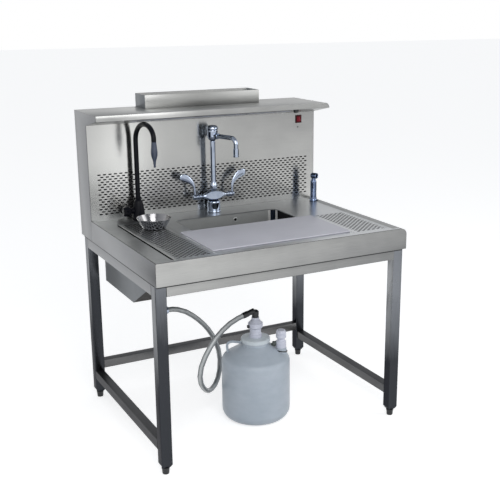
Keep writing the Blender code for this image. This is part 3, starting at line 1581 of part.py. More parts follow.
def make_spray():
    base = DECK_TOP + GAP
    top = DECK_TOP + HOLDER_HEIGHT
    socket = SPRAY_STEM_RADIUS + SPRAY_STEM_CLEARANCE
    turned(
        "spray_holder",
        [
            (socket, top),
            (HOLDER_TOP_RADIUS, top),
            (HOLDER_RADIUS, base + HOLDER_FLANGE_HEIGHT),
            (HOLDER_RADIUS, base),
            (0, base),
            (0, base + HOLDER_FLOOR),
            (socket, base + HOLDER_FLOOR),
        ],
        (SPRAY_X, SPRAY_Y, 0),
        CHROME,
        closed=True,
    )
    body_bottom = top + GAP
    body_top = body_bottom + SPRAY_BODY_HEIGHT
    waist_top = body_top + SPRAY_WAIST_HEIGHT
    handset = turned(
        "spray_handset",
        [
            (0, waist_top + SPRAY_HEAD_RADIUS),
            (SPRAY_WAIST_RADIUS, waist_top + SPRAY_HEAD_RADIUS / 2),
            (SPRAY_WAIST_RADIUS, body_top + SPRAY_WAIST_HEIGHT / 2),
            (SPRAY_RADIUS * 0.9, body_top),
            (SPRAY_RADIUS, body_top - SPRAY_WAIST_HEIGHT),
            (SPRAY_RADIUS, body_bottom),
            (SPRAY_STEM_RADIUS, body_bottom),
            (SPRAY_STEM_RADIUS, body_bottom - SPRAY_STEM_LENGTH),
            (0, body_bottom - SPRAY_STEM_LENGTH),
        ],
        (SPRAY_X, SPRAY_Y, 0),
        CHROME,
        PLAIN_TURN,
    )
    facing = Vector((math.cos(SPRAY_HEAD_ANGLE), math.sin(SPRAY_HEAD_ANGLE), 0))
    centre = Vector((SPRAY_X, SPRAY_Y, waist_top + SPRAY_HEAD_RADIUS * 0.9))
    head = cylinder(
        "spray_head",
        centre - facing * SPRAY_HEAD_LENGTH * 0.4,
        centre + facing * SPRAY_HEAD_LENGTH * 0.6,
        SPRAY_HEAD_RADIUS,
        PLAIN_TURN,
    )
    combine(handset, "UNION", head)


# Waste bottle, its fittings and its hose
def bottle_side(depth):
    """The bottle's side from the neck's rim down to the base, at a depth under its outer face."""
    shoulder_centre = (BOTTLE_RADIUS - BOTTLE_SHOULDER_ROUND, BOTTLE_SHOULDER_HEIGHT)
    foot_centre = (BOTTLE_RADIUS - BOTTLE_FOOT_ROUND, BOTTLE_FOOT_ROUND)
    cone_rise = BOTTLE_NECK_HEIGHT - BOTTLE_SHOULDER_HEIGHT - BOTTLE_SHOULDER_ROUND
    cone_run = BOTTLE_RADIUS - BOTTLE_SHOULDER_ROUND - BOTTLE_NECK_RADIUS
    cone_angle = math.pi / 2 - math.atan2(cone_rise, cone_run)
    neck_radius = BOTTLE_NECK_RADIUS - depth
    side = [(neck_radius, BOTTLE_TOP), (neck_radius, BOTTLE_NECK_HEIGHT - depth / 2)]
    side += arc(shoulder_centre, BOTTLE_SHOULDER_ROUND - depth, cone_angle, 0, 3)
    side += arc(foot_centre, BOTTLE_FOOT_ROUND - depth, 0, -math.pi / 2, 4)
    return side


def bottle_profile():
    """Outer side from the neck down to the middle of the base, then back up inside."""
    inner = bottle_side(BOTTLE_WALL)
    return bottle_side(0) + [(0, 0), (0, BOTTLE_WALL)] + inner[::-1]


def shoulder_height(radius):
    """Height of the bottle's outer cone at a distance from its axis."""
    high_radius, high = bottle_side(0)[1]
    low_radius, low = bottle_side(0)[2]
    return high + (low - high) * (radius - high_radius) / (low_radius - high_radius)


def on_bottle(across, height):
    """A point over the line through the handle and the vent, across from the bottle's axis."""
    turn = Vector((math.cos(BOTTLE_TURN), math.sin(BOTTLE_TURN), 0))
    return Vector((BOTTLE_X, BOTTLE_Y, height)) + turn * across


def make_bottle():
    place = Vector((BOTTLE_X, BOTTLE_Y, 0))
    bottle = turned(
        "bottle_body", bottle_profile(), place, BOTTLE_PLASTIC, FINE_TURN, closed=True
    )
    root_height = BOTTLE_TOP - HANDLE_ROOT_DROP
    foot_height = shoulder_height(HANDLE_FOOT_RADIUS) - HANDLE_RADIUS
    grip = [
        on_bottle(-BOTTLE_NECK_RADIUS + BOTTLE_WALL / 2, root_height),
        on_bottle(-BOTTLE_NECK_RADIUS - 3 * HANDLE_RADIUS, root_height + HANDLE_RADIUS / 4),
        on_bottle(-HANDLE_REACH + 4 * HANDLE_RADIUS, HANDLE_LEVEL),
        on_bottle(-HANDLE_REACH + HANDLE_RADIUS, HANDLE_LEVEL - 2.5 * HANDLE_RADIUS),
        on_bottle(-HANDLE_FOOT_RADIUS, foot_height),
    ]
    handle = tube("bottle_handle", smooth_route(grip, HANDLE_RADIUS * 2), HANDLE_RADIUS, None, 2)
    boss = cylinder(
        "vent_boss",
        on_bottle(BOSS_REACH, shoulder_height(BOSS_REACH + BOSS_RADIUS) - BOTTLE_WALL),
        on_bottle(BOSS_REACH, BOSS_TOP),
        BOSS_RADIUS,
        PLAIN_TURN,
    )
    core_side = bottle_side(BOTTLE_WALL / 2)
    core = turned("bottle_core", [(0, BOTTLE_TOP)] + core_side + [(0, core_side[-1][1])], place)
    combine(boss, "UNION", handle)
    combine(boss, "DIFFERENCE", core)
    combine(bottle, "UNION", boss)


def make_cap():
    top = BOTTLE_TOP + GAP + CAP_TOP
    inner = BOTTLE_NECK_RADIUS + CAP_CLEARANCE
    turned(
        "bottle_cap",
        [
            (0, top),
            (CAP_RADIUS - CAP_TOP, top),
            (CAP_RADIUS, top - CAP_TOP),
            (CAP_RADIUS, top - CAP_HEIGHT),
            (inner, top - CAP_HEIGHT),
            (inner, top - CAP_TOP),
            (0, top - CAP_TOP),
        ],
        (BOTTLE_X, BOTTLE_Y, 0),
        WHITE_PLASTIC,
        FINE_TURN,
    )


def make_bottle_fittings():
    bottom = COUPLING_BOTTOM
    top = bottom + COUPLING_HEIGHT
    coupling = turned(
        "hose_coupling",
        [
            (0, top),
            (COUPLING_TOP_RADIUS, top),
            (COUPLING_WIDE_RADIUS, bottom + COUPLING_HEIGHT * 0.72),
            (COUPLING_WIDE_RADIUS, bottom + COUPLING_HEIGHT * 0.52),
            (COUPLING_RADIUS, bottom + COUPLING_HEIGHT * 0.42),
            (COUPLING_RADIUS, bottom),
            (0, bottom),
        ],
        (BOTTLE_X, BOTTLE_Y, 0),
        WHITE_PLASTIC,
    )
    level = bottom + LATCH_LEVEL
    pocket_start = BOTTLE_X - COUPLING_WIDE_RADIUS + LATCH_LENGTH * 0.4
    pocket_end = pocket_start + LATCH_TRAVEL + LATCH_CLEARANCE
    pocket = box(
        "latch_pocket",
        (
            BOTTLE_X - 2 * COUPLING_WIDE_RADIUS,
            BOTTLE_Y - LATCH_WIDTH / 2 - LATCH_CLEARANCE,
            level - LATCH_HEIGHT / 2 - LATCH_CLEARANCE,
        ),
        (
            pocket_end,
            BOTTLE_Y + LATCH_WIDTH / 2 + LATCH_CLEARANCE,
            level + LATCH_HEIGHT / 2 + LATCH_CLEARANCE,
        ),
    )
    combine(coupling, "DIFFERENCE", pocket)
    box(
        "coupling_latch",
        (pocket_start - LATCH_LENGTH, BOTTLE_Y - LATCH_WIDTH / 2, level - LATCH_HEIGHT / 2),
        (pocket_start, BOTTLE_Y + LATCH_WIDTH / 2, level + LATCH_HEIGHT / 2),
        BLACK_PLASTIC,
    )
    elbow_top = ELBOW_BOTTOM + ELBOW_HEIGHT
    elbow = turned(
        "hose_elbow",
        [
            (0, elbow_top),
            (ELBOW_RADIUS, elbow_top),
            (ELBOW_RADIUS, ELBOW_BOTTOM),
            (0, ELBOW_BOTTOM),
        ],
        (BOTTLE_X, BOTTLE_Y, 0),
        BLACK_PLASTIC,
    )
    hose_end = Vector(HOSE_ROUTE[-1])
    inwards = (hose_end - Vector(HOSE_ROUTE[-2])).normalized()
    reach = (BOTTLE_X - hose_end.x) / inwards.x
    arm = cylinder(
        "elbow_arm",
        hose_end + inwards * GAP,
        hose_end + inwards * (reach - ELBOW_ARM_RADIUS / 2),
        ELBOW_ARM_RADIUS,
    )
    combine(elbow, "UNION", arm)
    vent_bottom = BOSS_TOP + GAP
    turned(
        "vent_fitting",
        [
            (0, vent_bottom + VENT_HEIGHT),
            (VENT_RADIUS * 0.8, vent_bottom + VENT_HEIGHT),
            (VENT_RADIUS, vent_bottom + VENT_HEIGHT * 0.88),
            (VENT_RADIUS, vent_bottom + VENT_HEIGHT * 0.58),
            (VENT_RADIUS * 0.72, vent_bottom + VENT_HEIGHT * 0.50),
            (VENT_RADIUS * 0.72, vent_bottom + VENT_HEIGHT * 0.42),
            (VENT_RADIUS, vent_bottom + VENT_HEIGHT * 0.34),
            (VENT_RADIUS, vent_bottom),
            (0, vent_bottom),
        ],
        on_bottle(BOSS_REACH, 0),
        WHITE_PLASTIC,
    )


def make_hose():
    points = smooth_route(HOSE_ROUTE, HOSE_STEP)
    first = points[0] + (points[1] - points[0]).normalized() * GAP
    tube(
        "waste_hose",
        [first] + points[1:],
        HOSE_DIAMETER / 2,
        HOSE_PLASTIC,
        HOSE_SIDES_RESOLUTION,
    )


make_frame()
make_fascias()
make_deck()
make_plates()
make_board()
make_sink()
make_plenum()
make_waste_elbow()
make_cabinet()
make_back_panel()
make_hood()
make_lamp()
make_switch()
make_main_tap()
make_gooseneck()
make_bowl()
make_spray()
make_bottle()
make_cap()
make_bottle_fittings()
make_hose()
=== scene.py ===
import json
import math

import bmesh
import bpy
from mathutils import Matrix, Vector


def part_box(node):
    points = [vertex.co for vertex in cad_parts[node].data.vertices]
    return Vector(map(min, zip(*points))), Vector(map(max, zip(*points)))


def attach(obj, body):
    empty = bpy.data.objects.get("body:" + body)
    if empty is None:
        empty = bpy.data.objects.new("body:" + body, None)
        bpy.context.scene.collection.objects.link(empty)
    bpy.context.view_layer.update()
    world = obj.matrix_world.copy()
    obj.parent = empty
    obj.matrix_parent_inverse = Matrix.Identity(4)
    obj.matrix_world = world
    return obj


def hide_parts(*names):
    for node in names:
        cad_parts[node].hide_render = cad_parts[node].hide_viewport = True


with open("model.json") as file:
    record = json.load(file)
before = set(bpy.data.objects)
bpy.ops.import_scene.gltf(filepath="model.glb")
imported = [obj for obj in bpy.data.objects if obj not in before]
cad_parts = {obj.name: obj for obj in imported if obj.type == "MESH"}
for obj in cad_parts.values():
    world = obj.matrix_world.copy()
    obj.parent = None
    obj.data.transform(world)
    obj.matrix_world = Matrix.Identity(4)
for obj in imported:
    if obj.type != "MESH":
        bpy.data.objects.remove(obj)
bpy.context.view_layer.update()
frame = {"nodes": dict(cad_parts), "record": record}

BODY_OF = {}
for body_name, body_nodes in frame["record"]["behaviour"]["bodies"].items():
    for node_name in body_nodes:
        BODY_OF[node_name] = body_name

UP = Vector((0, 0, 1))
MM = 0.001
# Points nearer than this are one point
MERGE = 0.01 * MM
FINE_MERGE = 0.001 * MM
# Faces that meet at less than the first angle are one face, and more than the second a sharp edge
FLAT = math.radians(0.5)
SHARP = math.radians(38)
# Least share of X in the normal of a side face, and most of Z in that of an upright one
SIDEWAYS = 0.8
UPRIGHT = 0.3

# Camera, as the photograph was taken
CAMERA_PLACE = Vector((-1.7593, -3.5731, 1.8756))
CAMERA_FORWARD = Vector((0.46494, 0.84466, -0.26531)).normalized()
CAMERA_ROLL = math.radians(-0.119)
CAMERA_LENS_MM = 63.45
CAMERA_SENSOR_MM = 36.0
CAMERA_SHIFT = (-0.0553, 0.0018)

# Waste hose, by the points of its middle line
HOSE_DIAMETER = 0.024
HOSE_STEP = 0.048
HOSE_ROUTE = (
    (-0.3567, 0.0200, 0.5440), (-0.3331, 0.0201, 0.5433), (-0.3094, 0.0213, 0.5378),
    (-0.2663, 0.0270, 0.5177), (-0.2285, 0.0374, 0.4901), (-0.1939, 0.0500, 0.4593),
    (-0.1618, 0.0632, 0.4261), (-0.1323, 0.0760, 0.3904), (-0.1063, 0.0873, 0.3517),
    (-0.0845, 0.0963, 0.3099), (-0.0697, 0.0992, 0.2646), (-0.0680, 0.0891, 0.2179),
    (-0.0798, 0.0691, 0.1762), (-0.1032, 0.0415, 0.1451), (-0.1342, 0.0092, 0.1284),
    (-0.1681, -0.0246, 0.1260), (-0.2000, -0.0582, 0.1379), (-0.2274, -0.0899, 0.1612),
    (-0.2518, -0.1195, 0.1901), (-0.2732, -0.1458, 0.2240), (-0.2847, -0.1619, 0.2672),
    (-0.2781, -0.1650, 0.3142), (-0.2564, -0.1611, 0.3567), (-0.2284, -0.1551, 0.3952),
    (-0.1960, -0.1485, 0.4301), (-0.1589, -0.1418, 0.4597), (-0.1179, -0.1358, 0.4840),
    (-0.0734, -0.1322, 0.5015), (-0.0270, -0.1310, 0.5137),
)

# Shading
# Size of the patches that handling leaves, depth of the grain, and the range of both noises added
PATCH_MM = 160
RELIEF_MM = 0.4
NOISE_LOW = 0.6
NOISE_HIGH = 1.4


def linear(colour):
    """An sRGB hex colour as linear red, green, blue and alpha."""
    channels = []
    for start in (1, 3, 5):
        value = int(colour[start : start + 2], 16) / 255
        if value <= 0.04045:
            channels.append(value / 12.92)
        else:
            channels.append(((value + 0.055) / 1.055) ** 2.4)
    return (*channels, 1.0)


def add(tree, kind, inputs=None, **settings):
    """Add a node with its settings; an input is a value or another node's socket."""
    made = tree.nodes.new(kind)
    for name, value in settings.items():
        setattr(made, name, value)
    for name, value in (inputs or {}).items():
        if isinstance(value, bpy.types.NodeSocket):
            tree.links.new(value, made.inputs[name])
        else:
            made.inputs[name].default_value = value
    return made


def new_finish(name, **constants):
    """A material with one shader, whose sockets named here hold one value all over."""
    material = bpy.data.materials.new(name)
    material.use_nodes = True
    shader = material.node_tree.nodes["Principled BSDF"]
    for socket, value in constants.items():
        shader.inputs[socket.replace("_", " ")].default_value = value
    return material, material.node_tree, shader


def painted_highlight_band(tree, position, centre, half_width, gain):
    """A painted highlight: a smooth rise of a tone about one place along X."""
    split = add(tree, "ShaderNodeSeparateXYZ", {"Vector": position})
    apart = add(tree, "ShaderNodeMath", {0: split.outputs["X"], 1: centre}, operation="SUBTRACT")
    distance = add(tree, "ShaderNodeMath", {0: apart.outputs["Value"]}, operation="ABSOLUTE")
    rise = add(
        tree, "ShaderNodeMapRange",
        {
            "Value": distance.outputs["Value"], "From Min": 0.0, "From Max": half_width,
            "To Min": gain, "To Max": 0.0,
        },
        interpolation_type="SMOOTHSTEP",
    )
    return rise.outputs["Result"]


def grained(
    name, dark, light, roughness, spread, grain_mm, bump=0.0, drift=(0, 0, 0), level=0.0, reach=0.4,
    painted_highlight=None, **constants,
):
    """A surface whose colour, gloss and relief vary with a noise of the given size along X, Y and Z.

    The tone may also drift slowly over the whole object, by so much a metre about a level; this drift
    is painted light and shade.
    A longer reach from dark to light makes the noise weaker beside the drift.
    A painted highlight is a paler upright band: its place along X, its half width and how much paler
    it is.
    """
    material, tree, shader = new_finish(name, **constants)
    place = add(tree, "ShaderNodeTexCoord")
    scale = tuple(1 / (size * MM) for size in grain_mm)
    stretched = add(tree, "ShaderNodeMapping", {"Vector": place.outputs["Object"], "Scale": scale})
    grain = add(
        tree, "ShaderNodeTexNoise",
        {"Vector": stretched.outputs["Vector"], "Scale": 1.0, "Detail": 3.0, "Roughness": 0.6},
    )
    handled = add(
        tree, "ShaderNodeTexNoise",
        {"Vector": place.outputs["Object"], "Scale": 1 / (PATCH_MM * MM), "Detail": 2.0},
    )
    both = add(
        tree, "ShaderNodeMath", {0: grain.outputs["Fac"], 1: handled.outputs["Fac"]},
        operation="ADD",
    )
    gloss = add(
        tree, "ShaderNodeMapRange",
        {
            "Value": both.outputs["Value"], "From Min": NOISE_LOW, "From Max": NOISE_HIGH,
            "To Min": roughness - spread, "To Max": roughness + spread,
        },
    )
    tree.links.new(gloss.outputs["Result"], shader.inputs["Roughness"])
    slow = add(
        tree, "ShaderNodeVectorMath", {0: place.outputs["Object"], 1: drift},
        operation="DOT_PRODUCT",
    )
    drifted = add(
        tree, "ShaderNodeMath", {0: both.outputs["Value"], 1: slow.outputs["Value"]},
        operation="ADD",
    )
    if painted_highlight:
        drifted = add(
            tree, "ShaderNodeMath",
            {0: drifted.outputs["Value"], 1: painted_highlight_band(tree, place.outputs["Object"], *painted_highlight)},
            operation="ADD",
        )
    tone = add(
        tree, "ShaderNodeMapRange",
        {
            "Value": drifted.outputs["Value"], "From Min": 1 + level - reach,
            "From Max": 1 + level + reach,
        },
    )
    colour = add(
        tree, "ShaderNodeMix",
        {"Factor": tone.outputs["Result"], "A": linear(dark), "B": linear(light)}, data_type="RGBA",
    )
    tree.links.new(colour.outputs["Result"], shader.inputs["Base Color"])
    if bump:
        relief = add(
            tree, "ShaderNodeBump",
            {"Height": grain.outputs["Fac"], "Strength": bump, "Distance": RELIEF_MM * MM},
        )
        tree.links.new(relief.outputs["Normal"], shader.inputs["Normal"])
    return material


# Modelling
def new_piece(name, bm):
    """A finished piece: doubles merged, faces outwards, round forms shaded smooth."""
    bmesh.ops.remove_doubles(bm, verts=bm.verts, dist=MERGE)
    bmesh.ops.recalc_face_normals(bm, faces=bm.faces)
    return kept_piece(name, bm)


def kept_piece(name, bm):
    """A piece whose faces already point the right way."""
    for face in bm.faces:
        face.smooth = True
    for edge in bm.edges:
        edge.smooth = edge.calc_face_angle(0) < SHARP
    mesh = bpy.data.meshes.new(name)
    bm.to_mesh(mesh)
    bm.free()
    piece = bpy.data.objects.new(name, mesh)
    bpy.context.scene.collection.objects.link(piece)
    return piece


def settle(piece, material, *nodes, body=None, slot=None):
    """Give a piece its finish and the body that carries it, and hide the CAD nodes that it stands
    for.
    """
    piece.data.materials.clear()
    piece.data.materials.append(material)
    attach(piece, body or BODY_OF[nodes[0]])
    if nodes:
        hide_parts(*nodes)
    return piece


def added(name, bm, finish, slot="black_plastic", body="station"):
    """A piece that stands for no node."""
    return settle(new_piece(name, bm), finish, body=body, slot=slot)


def faced(piece, finish, chosen):
    """Give the faces that a rule picks out another finish."""
    piece.data.materials.append(finish)
    for face in piece.data.polygons:
        if chosen(face):
            face.material_index = len(piece.data.materials) - 1


def sideways(face):
    """Whether a face looks to the left or the right."""
    return abs(face.normal.x) > SIDEWAYS


def middle(node):
    """A node's middle across, its lowest and highest level, and half its width."""
    low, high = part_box(node)
    centre = (Vector(low) + Vector(high)) / 2
    return centre, low[2], high[2], (high[0] - low[0]) / 2


def bevelled(bm, edges, width, segments):
    """Round some edges of a form."""
    bmesh.ops.bevel(
        bm, geom=edges, offset=width, offset_type="OFFSET", affect="EDGES", segments=segments,
        profile=0.5, material=-1, clamp_overlap=True,
    )


def sheet(node, finish, width=0.0008, segments=2, shortest=0.02, slot=None):
    """A copy of a CAD node in its finish, with its outer edges rounded down to the shortest named."""
    bm = bmesh.new()
    bm.from_mesh(frame["nodes"][node].data)
    bmesh.ops.remove_doubles(bm, verts=bm.verts, dist=MERGE)
    bmesh.ops.dissolve_limit(bm, angle_limit=FLAT, verts=bm.verts, edges=bm.edges, delimit=set())
    sharp = []
    for edge in bm.edges:
        bent = edge.is_manifold and edge.is_convex and edge.calc_face_angle(0) > SHARP
        if bent and edge.calc_length() > shortest:
            sharp.append(edge)
    bevelled(bm, sharp, width, segments)
    return settle(kept_piece(node + "_sheet", bm), finish, node, slot=slot)


def rounded(profile, radius, steps=4):
    """The profile with each inner corner turned into a small curve."""
    points = [Vector(point) for point in profile]
    result = [points[0]]
    for before, corner, after in zip(points, points[1:], points[2:]):
        back = before - corner
        on = after - corner
        reach_back = min(radius, back.length / 2)
        reach_on = min(radius, on.length / 2)
        start = corner + back.normalized() * reach_back
        end = corner + on.normalized() * reach_on
        for step in range(steps + 1):
            share = step / steps
            first = start.lerp(corner, share)
            second = corner.lerp(end, share)
            result.append(first.lerp(second, share))
    result.append(points[-1])
    return result


def spun(profile, place, axis=UP, steps=48, fillet=0.0):
    """A form turned from (radius, height) points about an axis through a place."""
    if fillet:
        profile = rounded(profile, fillet)
    bm = bmesh.new()
    line = [bm.verts.new((point[0], 0, point[1])) for point in profile]
    edges = [bm.edges.new(pair) for pair in zip(line, line[1:])]
    bmesh.ops.spin(
        bm, geom=line + edges, cent=(0, 0, 0), axis=UP, angle=2 * math.pi, steps=steps,
        use_merge=True,
    )
    bmesh.ops.remove_doubles(bm, verts=bm.verts, dist=FINE_MERGE)
    turn = UP.rotation_difference(Vector(axis)).to_matrix().to_4x4()
    bmesh.ops.transform(bm, matrix=Matrix.Translation(place) @ turn, verts=bm.verts)
    return bm


def turned(name, node, finish, profile, **form):
    """A piece turned about the upright middle line of the node that it stands for."""
    centre = middle(node)[0]
    bm = spun(profile, (centre.x, centre.y, 0), **form)
    settle(new_piece(name, bm), finish, node)


def fluted(bm, place, count, depth, low, high, least):
    """Press flutes into the rim of an upright turned form between two levels."""
    for vert in bm.verts:
        out = Vector((vert.co.x - place[0], vert.co.y - place[1], 0))
        if low < vert.co.z < high and out.length > least:
            angle = math.atan2(out.y, out.x)
            vert.co -= out.normalized() * depth * (0.5 + 0.5 * math.cos(count * angle))


def joined(*forms):
    """Several forms as one mesh."""
    first = forms[0]
    for form in forms[1:]:
        mesh = bpy.data.meshes.new("form")
        form.to_mesh(mesh)
        form.free()
        first.from_mesh(mesh)
        bpy.data.meshes.remove(mesh)
    return first


def smooth_route(points, step):
    """Points about one step apart on a smooth curve through the given points."""
    route = [Vector(point) for point in points]
    route = [2 * route[0] - route[1]] + route + [2 * route[-1] - route[-2]]
    result = []
    for index in range(1, len(route) - 2):
        before, start, end, after = route[index - 1 : index + 3]
        count = max(1, round((end - start).length / step))
        for part in range(count):
            t = part / count
            linear_term = (end - before) * t
            square_term = (2 * before - 5 * start + 4 * end - after) * t * t
            cubic_term = (3 * start - before - 3 * end + after) * t * t * t
            result.append(0.5 * (2 * start + linear_term + square_term + cubic_term))
    result.append(route[-2])
    return result


def curve_form(name, data):
    """The mesh of a curve, as a form to work on."""
    holder = bpy.data.objects.new(name, data)
    bpy.context.scene.collection.objects.link(holder)
    bpy.context.view_layer.update()
    shown = holder.evaluated_get(bpy.context.evaluated_depsgraph_get())
    mesh = bpy.data.meshes.new_from_object(shown)
    bm = bmesh.new()
    bm.from_mesh(mesh)
    bpy.data.objects.remove(holder)
    bpy.data.meshes.remove(mesh)
    return bm


def line_curve(name, points, radius, sides):
    """The curve of a round bar along a line of points."""
    data = bpy.data.curves.new(name, "CURVE")
    data.dimensions = "3D"
    data.bevel_depth = radius
    data.bevel_resolution = sides
    data.use_fill_caps = True
    spline = data.splines.new("POLY")
    spline.points.add(len(points) - 1)
    for point, place in zip(spline.points, points):
        point.co = (*place, 1)
    return data


def bar(points, radius, sides=5):
    """A round bar as a form to work on."""
    return curve_form("bar", line_curve("bar", points, radius, sides))


def lofted(sections, sides=20):
    """A closed form through round or flat sections, each a matrix that places a unit circle."""
    bm = bmesh.new()
    loops = []
    for section in sections:
        made = bmesh.ops.create_circle(bm, segments=sides, radius=1.0, matrix=section)
        edges = []
        for vert in made["verts"]:
            edges += [edge for edge in vert.link_edges if edge not in edges]
        loops.append(edges)
    for first, second in zip(loops, loops[1:]):
        bmesh.ops.bridge_loops(bm, edges=first + second)
    for end in (loops[0], loops[-1]):
        bmesh.ops.edgeloop_fill(bm, edges=end)
    return bm


def prism(outline, run):
    """A flat outline pushed along a run into a closed form."""
    bm = bmesh.new()
    corners = [bm.verts.new(point) for point in outline]
    made = bmesh.ops.contextual_create(bm, geom=corners)
    pushed = bmesh.ops.extrude_face_region(bm, geom=made["faces"])
    moved = [item for item in pushed["geom"] if isinstance(item, bmesh.types.BMVert)]
    bmesh.ops.translate(bm, vec=run, verts=moved)
    return bm


def obround(x, y, length, width, steps):
    """A slot's outline with round ends, lying along X."""
    radius = width / 2
    half = length / 2 - radius
    points = []
    for end in (1, -1):
        for step in range(steps + 1):
            angle = math.pi * (step / steps - 0.5)
            across = end * (half + radius * math.cos(angle))
            points.append((x + across, y + end * radius * math.sin(angle)))
    return points


def staggered(low, high, pitch, size):
    """Middles of slots in staggered rows that lie wholly between two corners."""
    middles = []
    rows = int((high[1] - low[1] - size[1]) / pitch[1]) + 1
    first = (low[1] + high[1] - (rows - 1) * pitch[1]) / 2
    for row in range(rows):
        columns = int((high[0] - low[0] - size[0]) / pitch[0]) + 1
        if row % 2:
            columns -= 1
        start = (low[0] + high[0] - (columns - 1) * pitch[0]) / 2
        for column in range(columns):
            middles.append((start + column * pitch[0], first + row * pitch[1]))
    return middles


def perforated(outline, holes, thickness):
    """A flat sheet with holes, lying in X and Y about the level 0."""
    data = bpy.data.curves.new("sheet", "CURVE")
    data.dimensions = "2D"
    data.fill_mode = "BOTH"
    data.extrude = thickness / 2
    for points in [outline] + holes:
        spline = data.splines.new("POLY")
        spline.points.add(len(points) - 1)
        spline.use_cyclic_u = True
        for point, place in zip(spline.points, points):
            point.co = (place[0], place[1], 0, 1)
    return curve_form("sheet", data)


def rectangle(low, high):
    """The four corners of a rectangle, in turn."""
    return [(low[0], low[1]), (high[0], low[1]), (high[0], high[1]), (low[0], high[1])]


# Finishes
# Belt grain along X, along Y and up a tube, in millimetres, coarser than the real one to show at all
GRAIN_ALONG = (90, 2.5, 2.5)
GRAIN_DEEP = (2.5, 90, 2.5)
GRAIN_UP = (2.5, 2.5, 90)

# Cold-rolled stainless sheet with a fine belt grain: soft grey reflections drawn across the grain,
# and painted light that makes it lighter to the left.
STEEL_X = grained(
    "brushed_stainless_lengthwise", "#868786", "#BCBCBA", 0.32, 0.05, GRAIN_ALONG, 0.03,
    drift=(-0.9, 0, 0), reach=1.2, Metallic=1.0,
)
# The duct collar, an even grey with the grain along it, and painted light a little lighter to the
# left.
STEEL_COLLAR = grained(
    "brushed_stainless_collar", "#808180", "#B0B0AE", 0.34, 0.05, GRAIN_ALONG, 0.03,
    drift=(-0.2, 0, 0), reach=1.2, Metallic=1.0,
)
# The hood, grey with a painted highlight left of the middle, and painted light a little lighter to
# the left.
STEEL_HOOD = grained(
    "brushed_stainless_hood", "#808180", "#D4D4D2", 0.34, 0.05, GRAIN_ALONG, 0.03,
    drift=(-0.2, 0, 0), level=1.23, reach=2.43, painted_highlight=(-0.31, 0.22, 2.0), Metallic=1.0,
)
# The worktop's front fold and the front apron: painted light lighter to the left, and painted shade
# darker lower down.
STEEL_FRONT = grained(
    "brushed_stainless_front", "#7A7B7B", "#B1B1AF", 0.32, 0.05, GRAIN_ALONG, 0.03,
    drift=(-1.35, 0, 5.0), level=4.38, reach=1.2, Metallic=1.0,
)
# The sides, an even mid grey of painted shade, darker than the front, with the grain from front to
# back.
STEEL_SIDE = grained(
    "brushed_stainless_side_painted_shade", "#838487", "#979899", 0.35, 0.05, GRAIN_DEEP, 0.03, Metallic=1.0,
)
# Square stainless tube in painted shade: a deep blue-grey, darker towards the bottom and lighter
# towards the right, with the grain along the tube.
STEEL_LEG = grained(
    "drawn_stainless_tube", "#3A3C40", "#787B80", 0.30, 0.06, GRAIN_UP, 0.04, drift=(1.7, 0, 6.5),
    level=3.9, reach=1.0, Metallic=1.0, Specular_Tint=(0.50, 0.50, 0.51, 1.0),
)
# The legs' flanks: a lit copy of the tube's finish, painted light that stays pale further down before
# painted shade darkens the bottom.
STEEL_LEG_FLANK = grained(
    "drawn_stainless_tube_flank", "#313236", "#A8AAAC", 0.30, 0.06, GRAIN_UP, 0.04,
    drift=(0.3, 0, 6.5), level=3.05, reach=1.0, Metallic=1.0, Specular_Tint=(0.50, 0.50, 0.51, 1.0),
)
# The lower rails, in tube with a duller and more even finish, darkened by painted shade.
STEEL_RAIL = grained(
    "drawn_stainless_rail", "#5D5D5E", "#757575", 0.34, 0.06, (4, 4, 4), 0.04, Metallic=1.0,
    Specular_Tint=(0.42, 0.42, 0.43, 1.0),
)
# Pressed stainless under the deck, left with a dull annealed skin; on the collar's ends the same
# finish is painted shade.
STEEL_PLENUM = grained(
    "annealed_stainless_pressing_and_painted_shade", "#666A6E", "#7F8387", 0.40, 0.06, (40, 40, 40), 0.0,
    Metallic=1.0,
)
# Polished stainless worktop: a near mirror, dulled in patches where it is wiped, with painted shade
# darker towards the back.
STEEL_DECK = grained(
    "polished_stainless_worktop", "#909396", "#DCDEE0", 0.32, 0.05, (60, 60, 60), 0.0,
    drift=(0, -1.0, 0), reach=1.0, Metallic=1.0,
)
# Deep-drawn sink with a satin polish: its walls mirror each other softly.
STEEL_SINK = grained(
    "satin_drawn_stainless_sink", "#9C9E9E", "#B0B2B1", 0.34, 0.05, (3, 3, 3), 0.03, Metallic=0.60,
)
# Belt-polished upright panel: drawn-out reflections, with painted light lighter to the left and lower
# down, and a painted highlight band to the left.
STEEL_PANEL = grained(
    "belt_polished_stainless_panel", "#979796", "#F4F4F0", 0.20, 0.04, (120, 3, 3), 0.0,
    drift=(-1.6, 0, -3.5), level=-2.73, reach=2.95, painted_highlight=(-0.42, 0.22, 2.6), Metallic=1.0,
    Anisotropic=0.8, Anisotropic_Rotation=0.25,
)
# Spun stainless bowl, buffed inside and out: a soft mirror.
STEEL_BOWL = grained(
    "buffed_stainless_bowl", "#98979A", "#BDBCBC", 0.16, 0.03, (40, 40, 2), 0.0, Metallic=1.0,
)
# The trough's front slope in painted shade: almost black, as in the shade under the worktop.
STEEL_SLOPE_SHADE = grained(
    "stainless_slope_painted_shade", "#1D1A18", "#2A2725", 0.65, 0.06, (30, 30, 30), 0.0, Metallic=0.2,
    Specular_IOR_Level=0.12,
)
# Punched edges of the plates and their slots, rough and in painted shade: dark beside the polished
# face.
STEEL_EDGE_SHADE = grained(
    "punched_stainless_edge_painted_shade", "#1A1A1C", "#262628", 0.60, 0.05, (8, 8, 8), 0.0, Metallic=0.2,
)
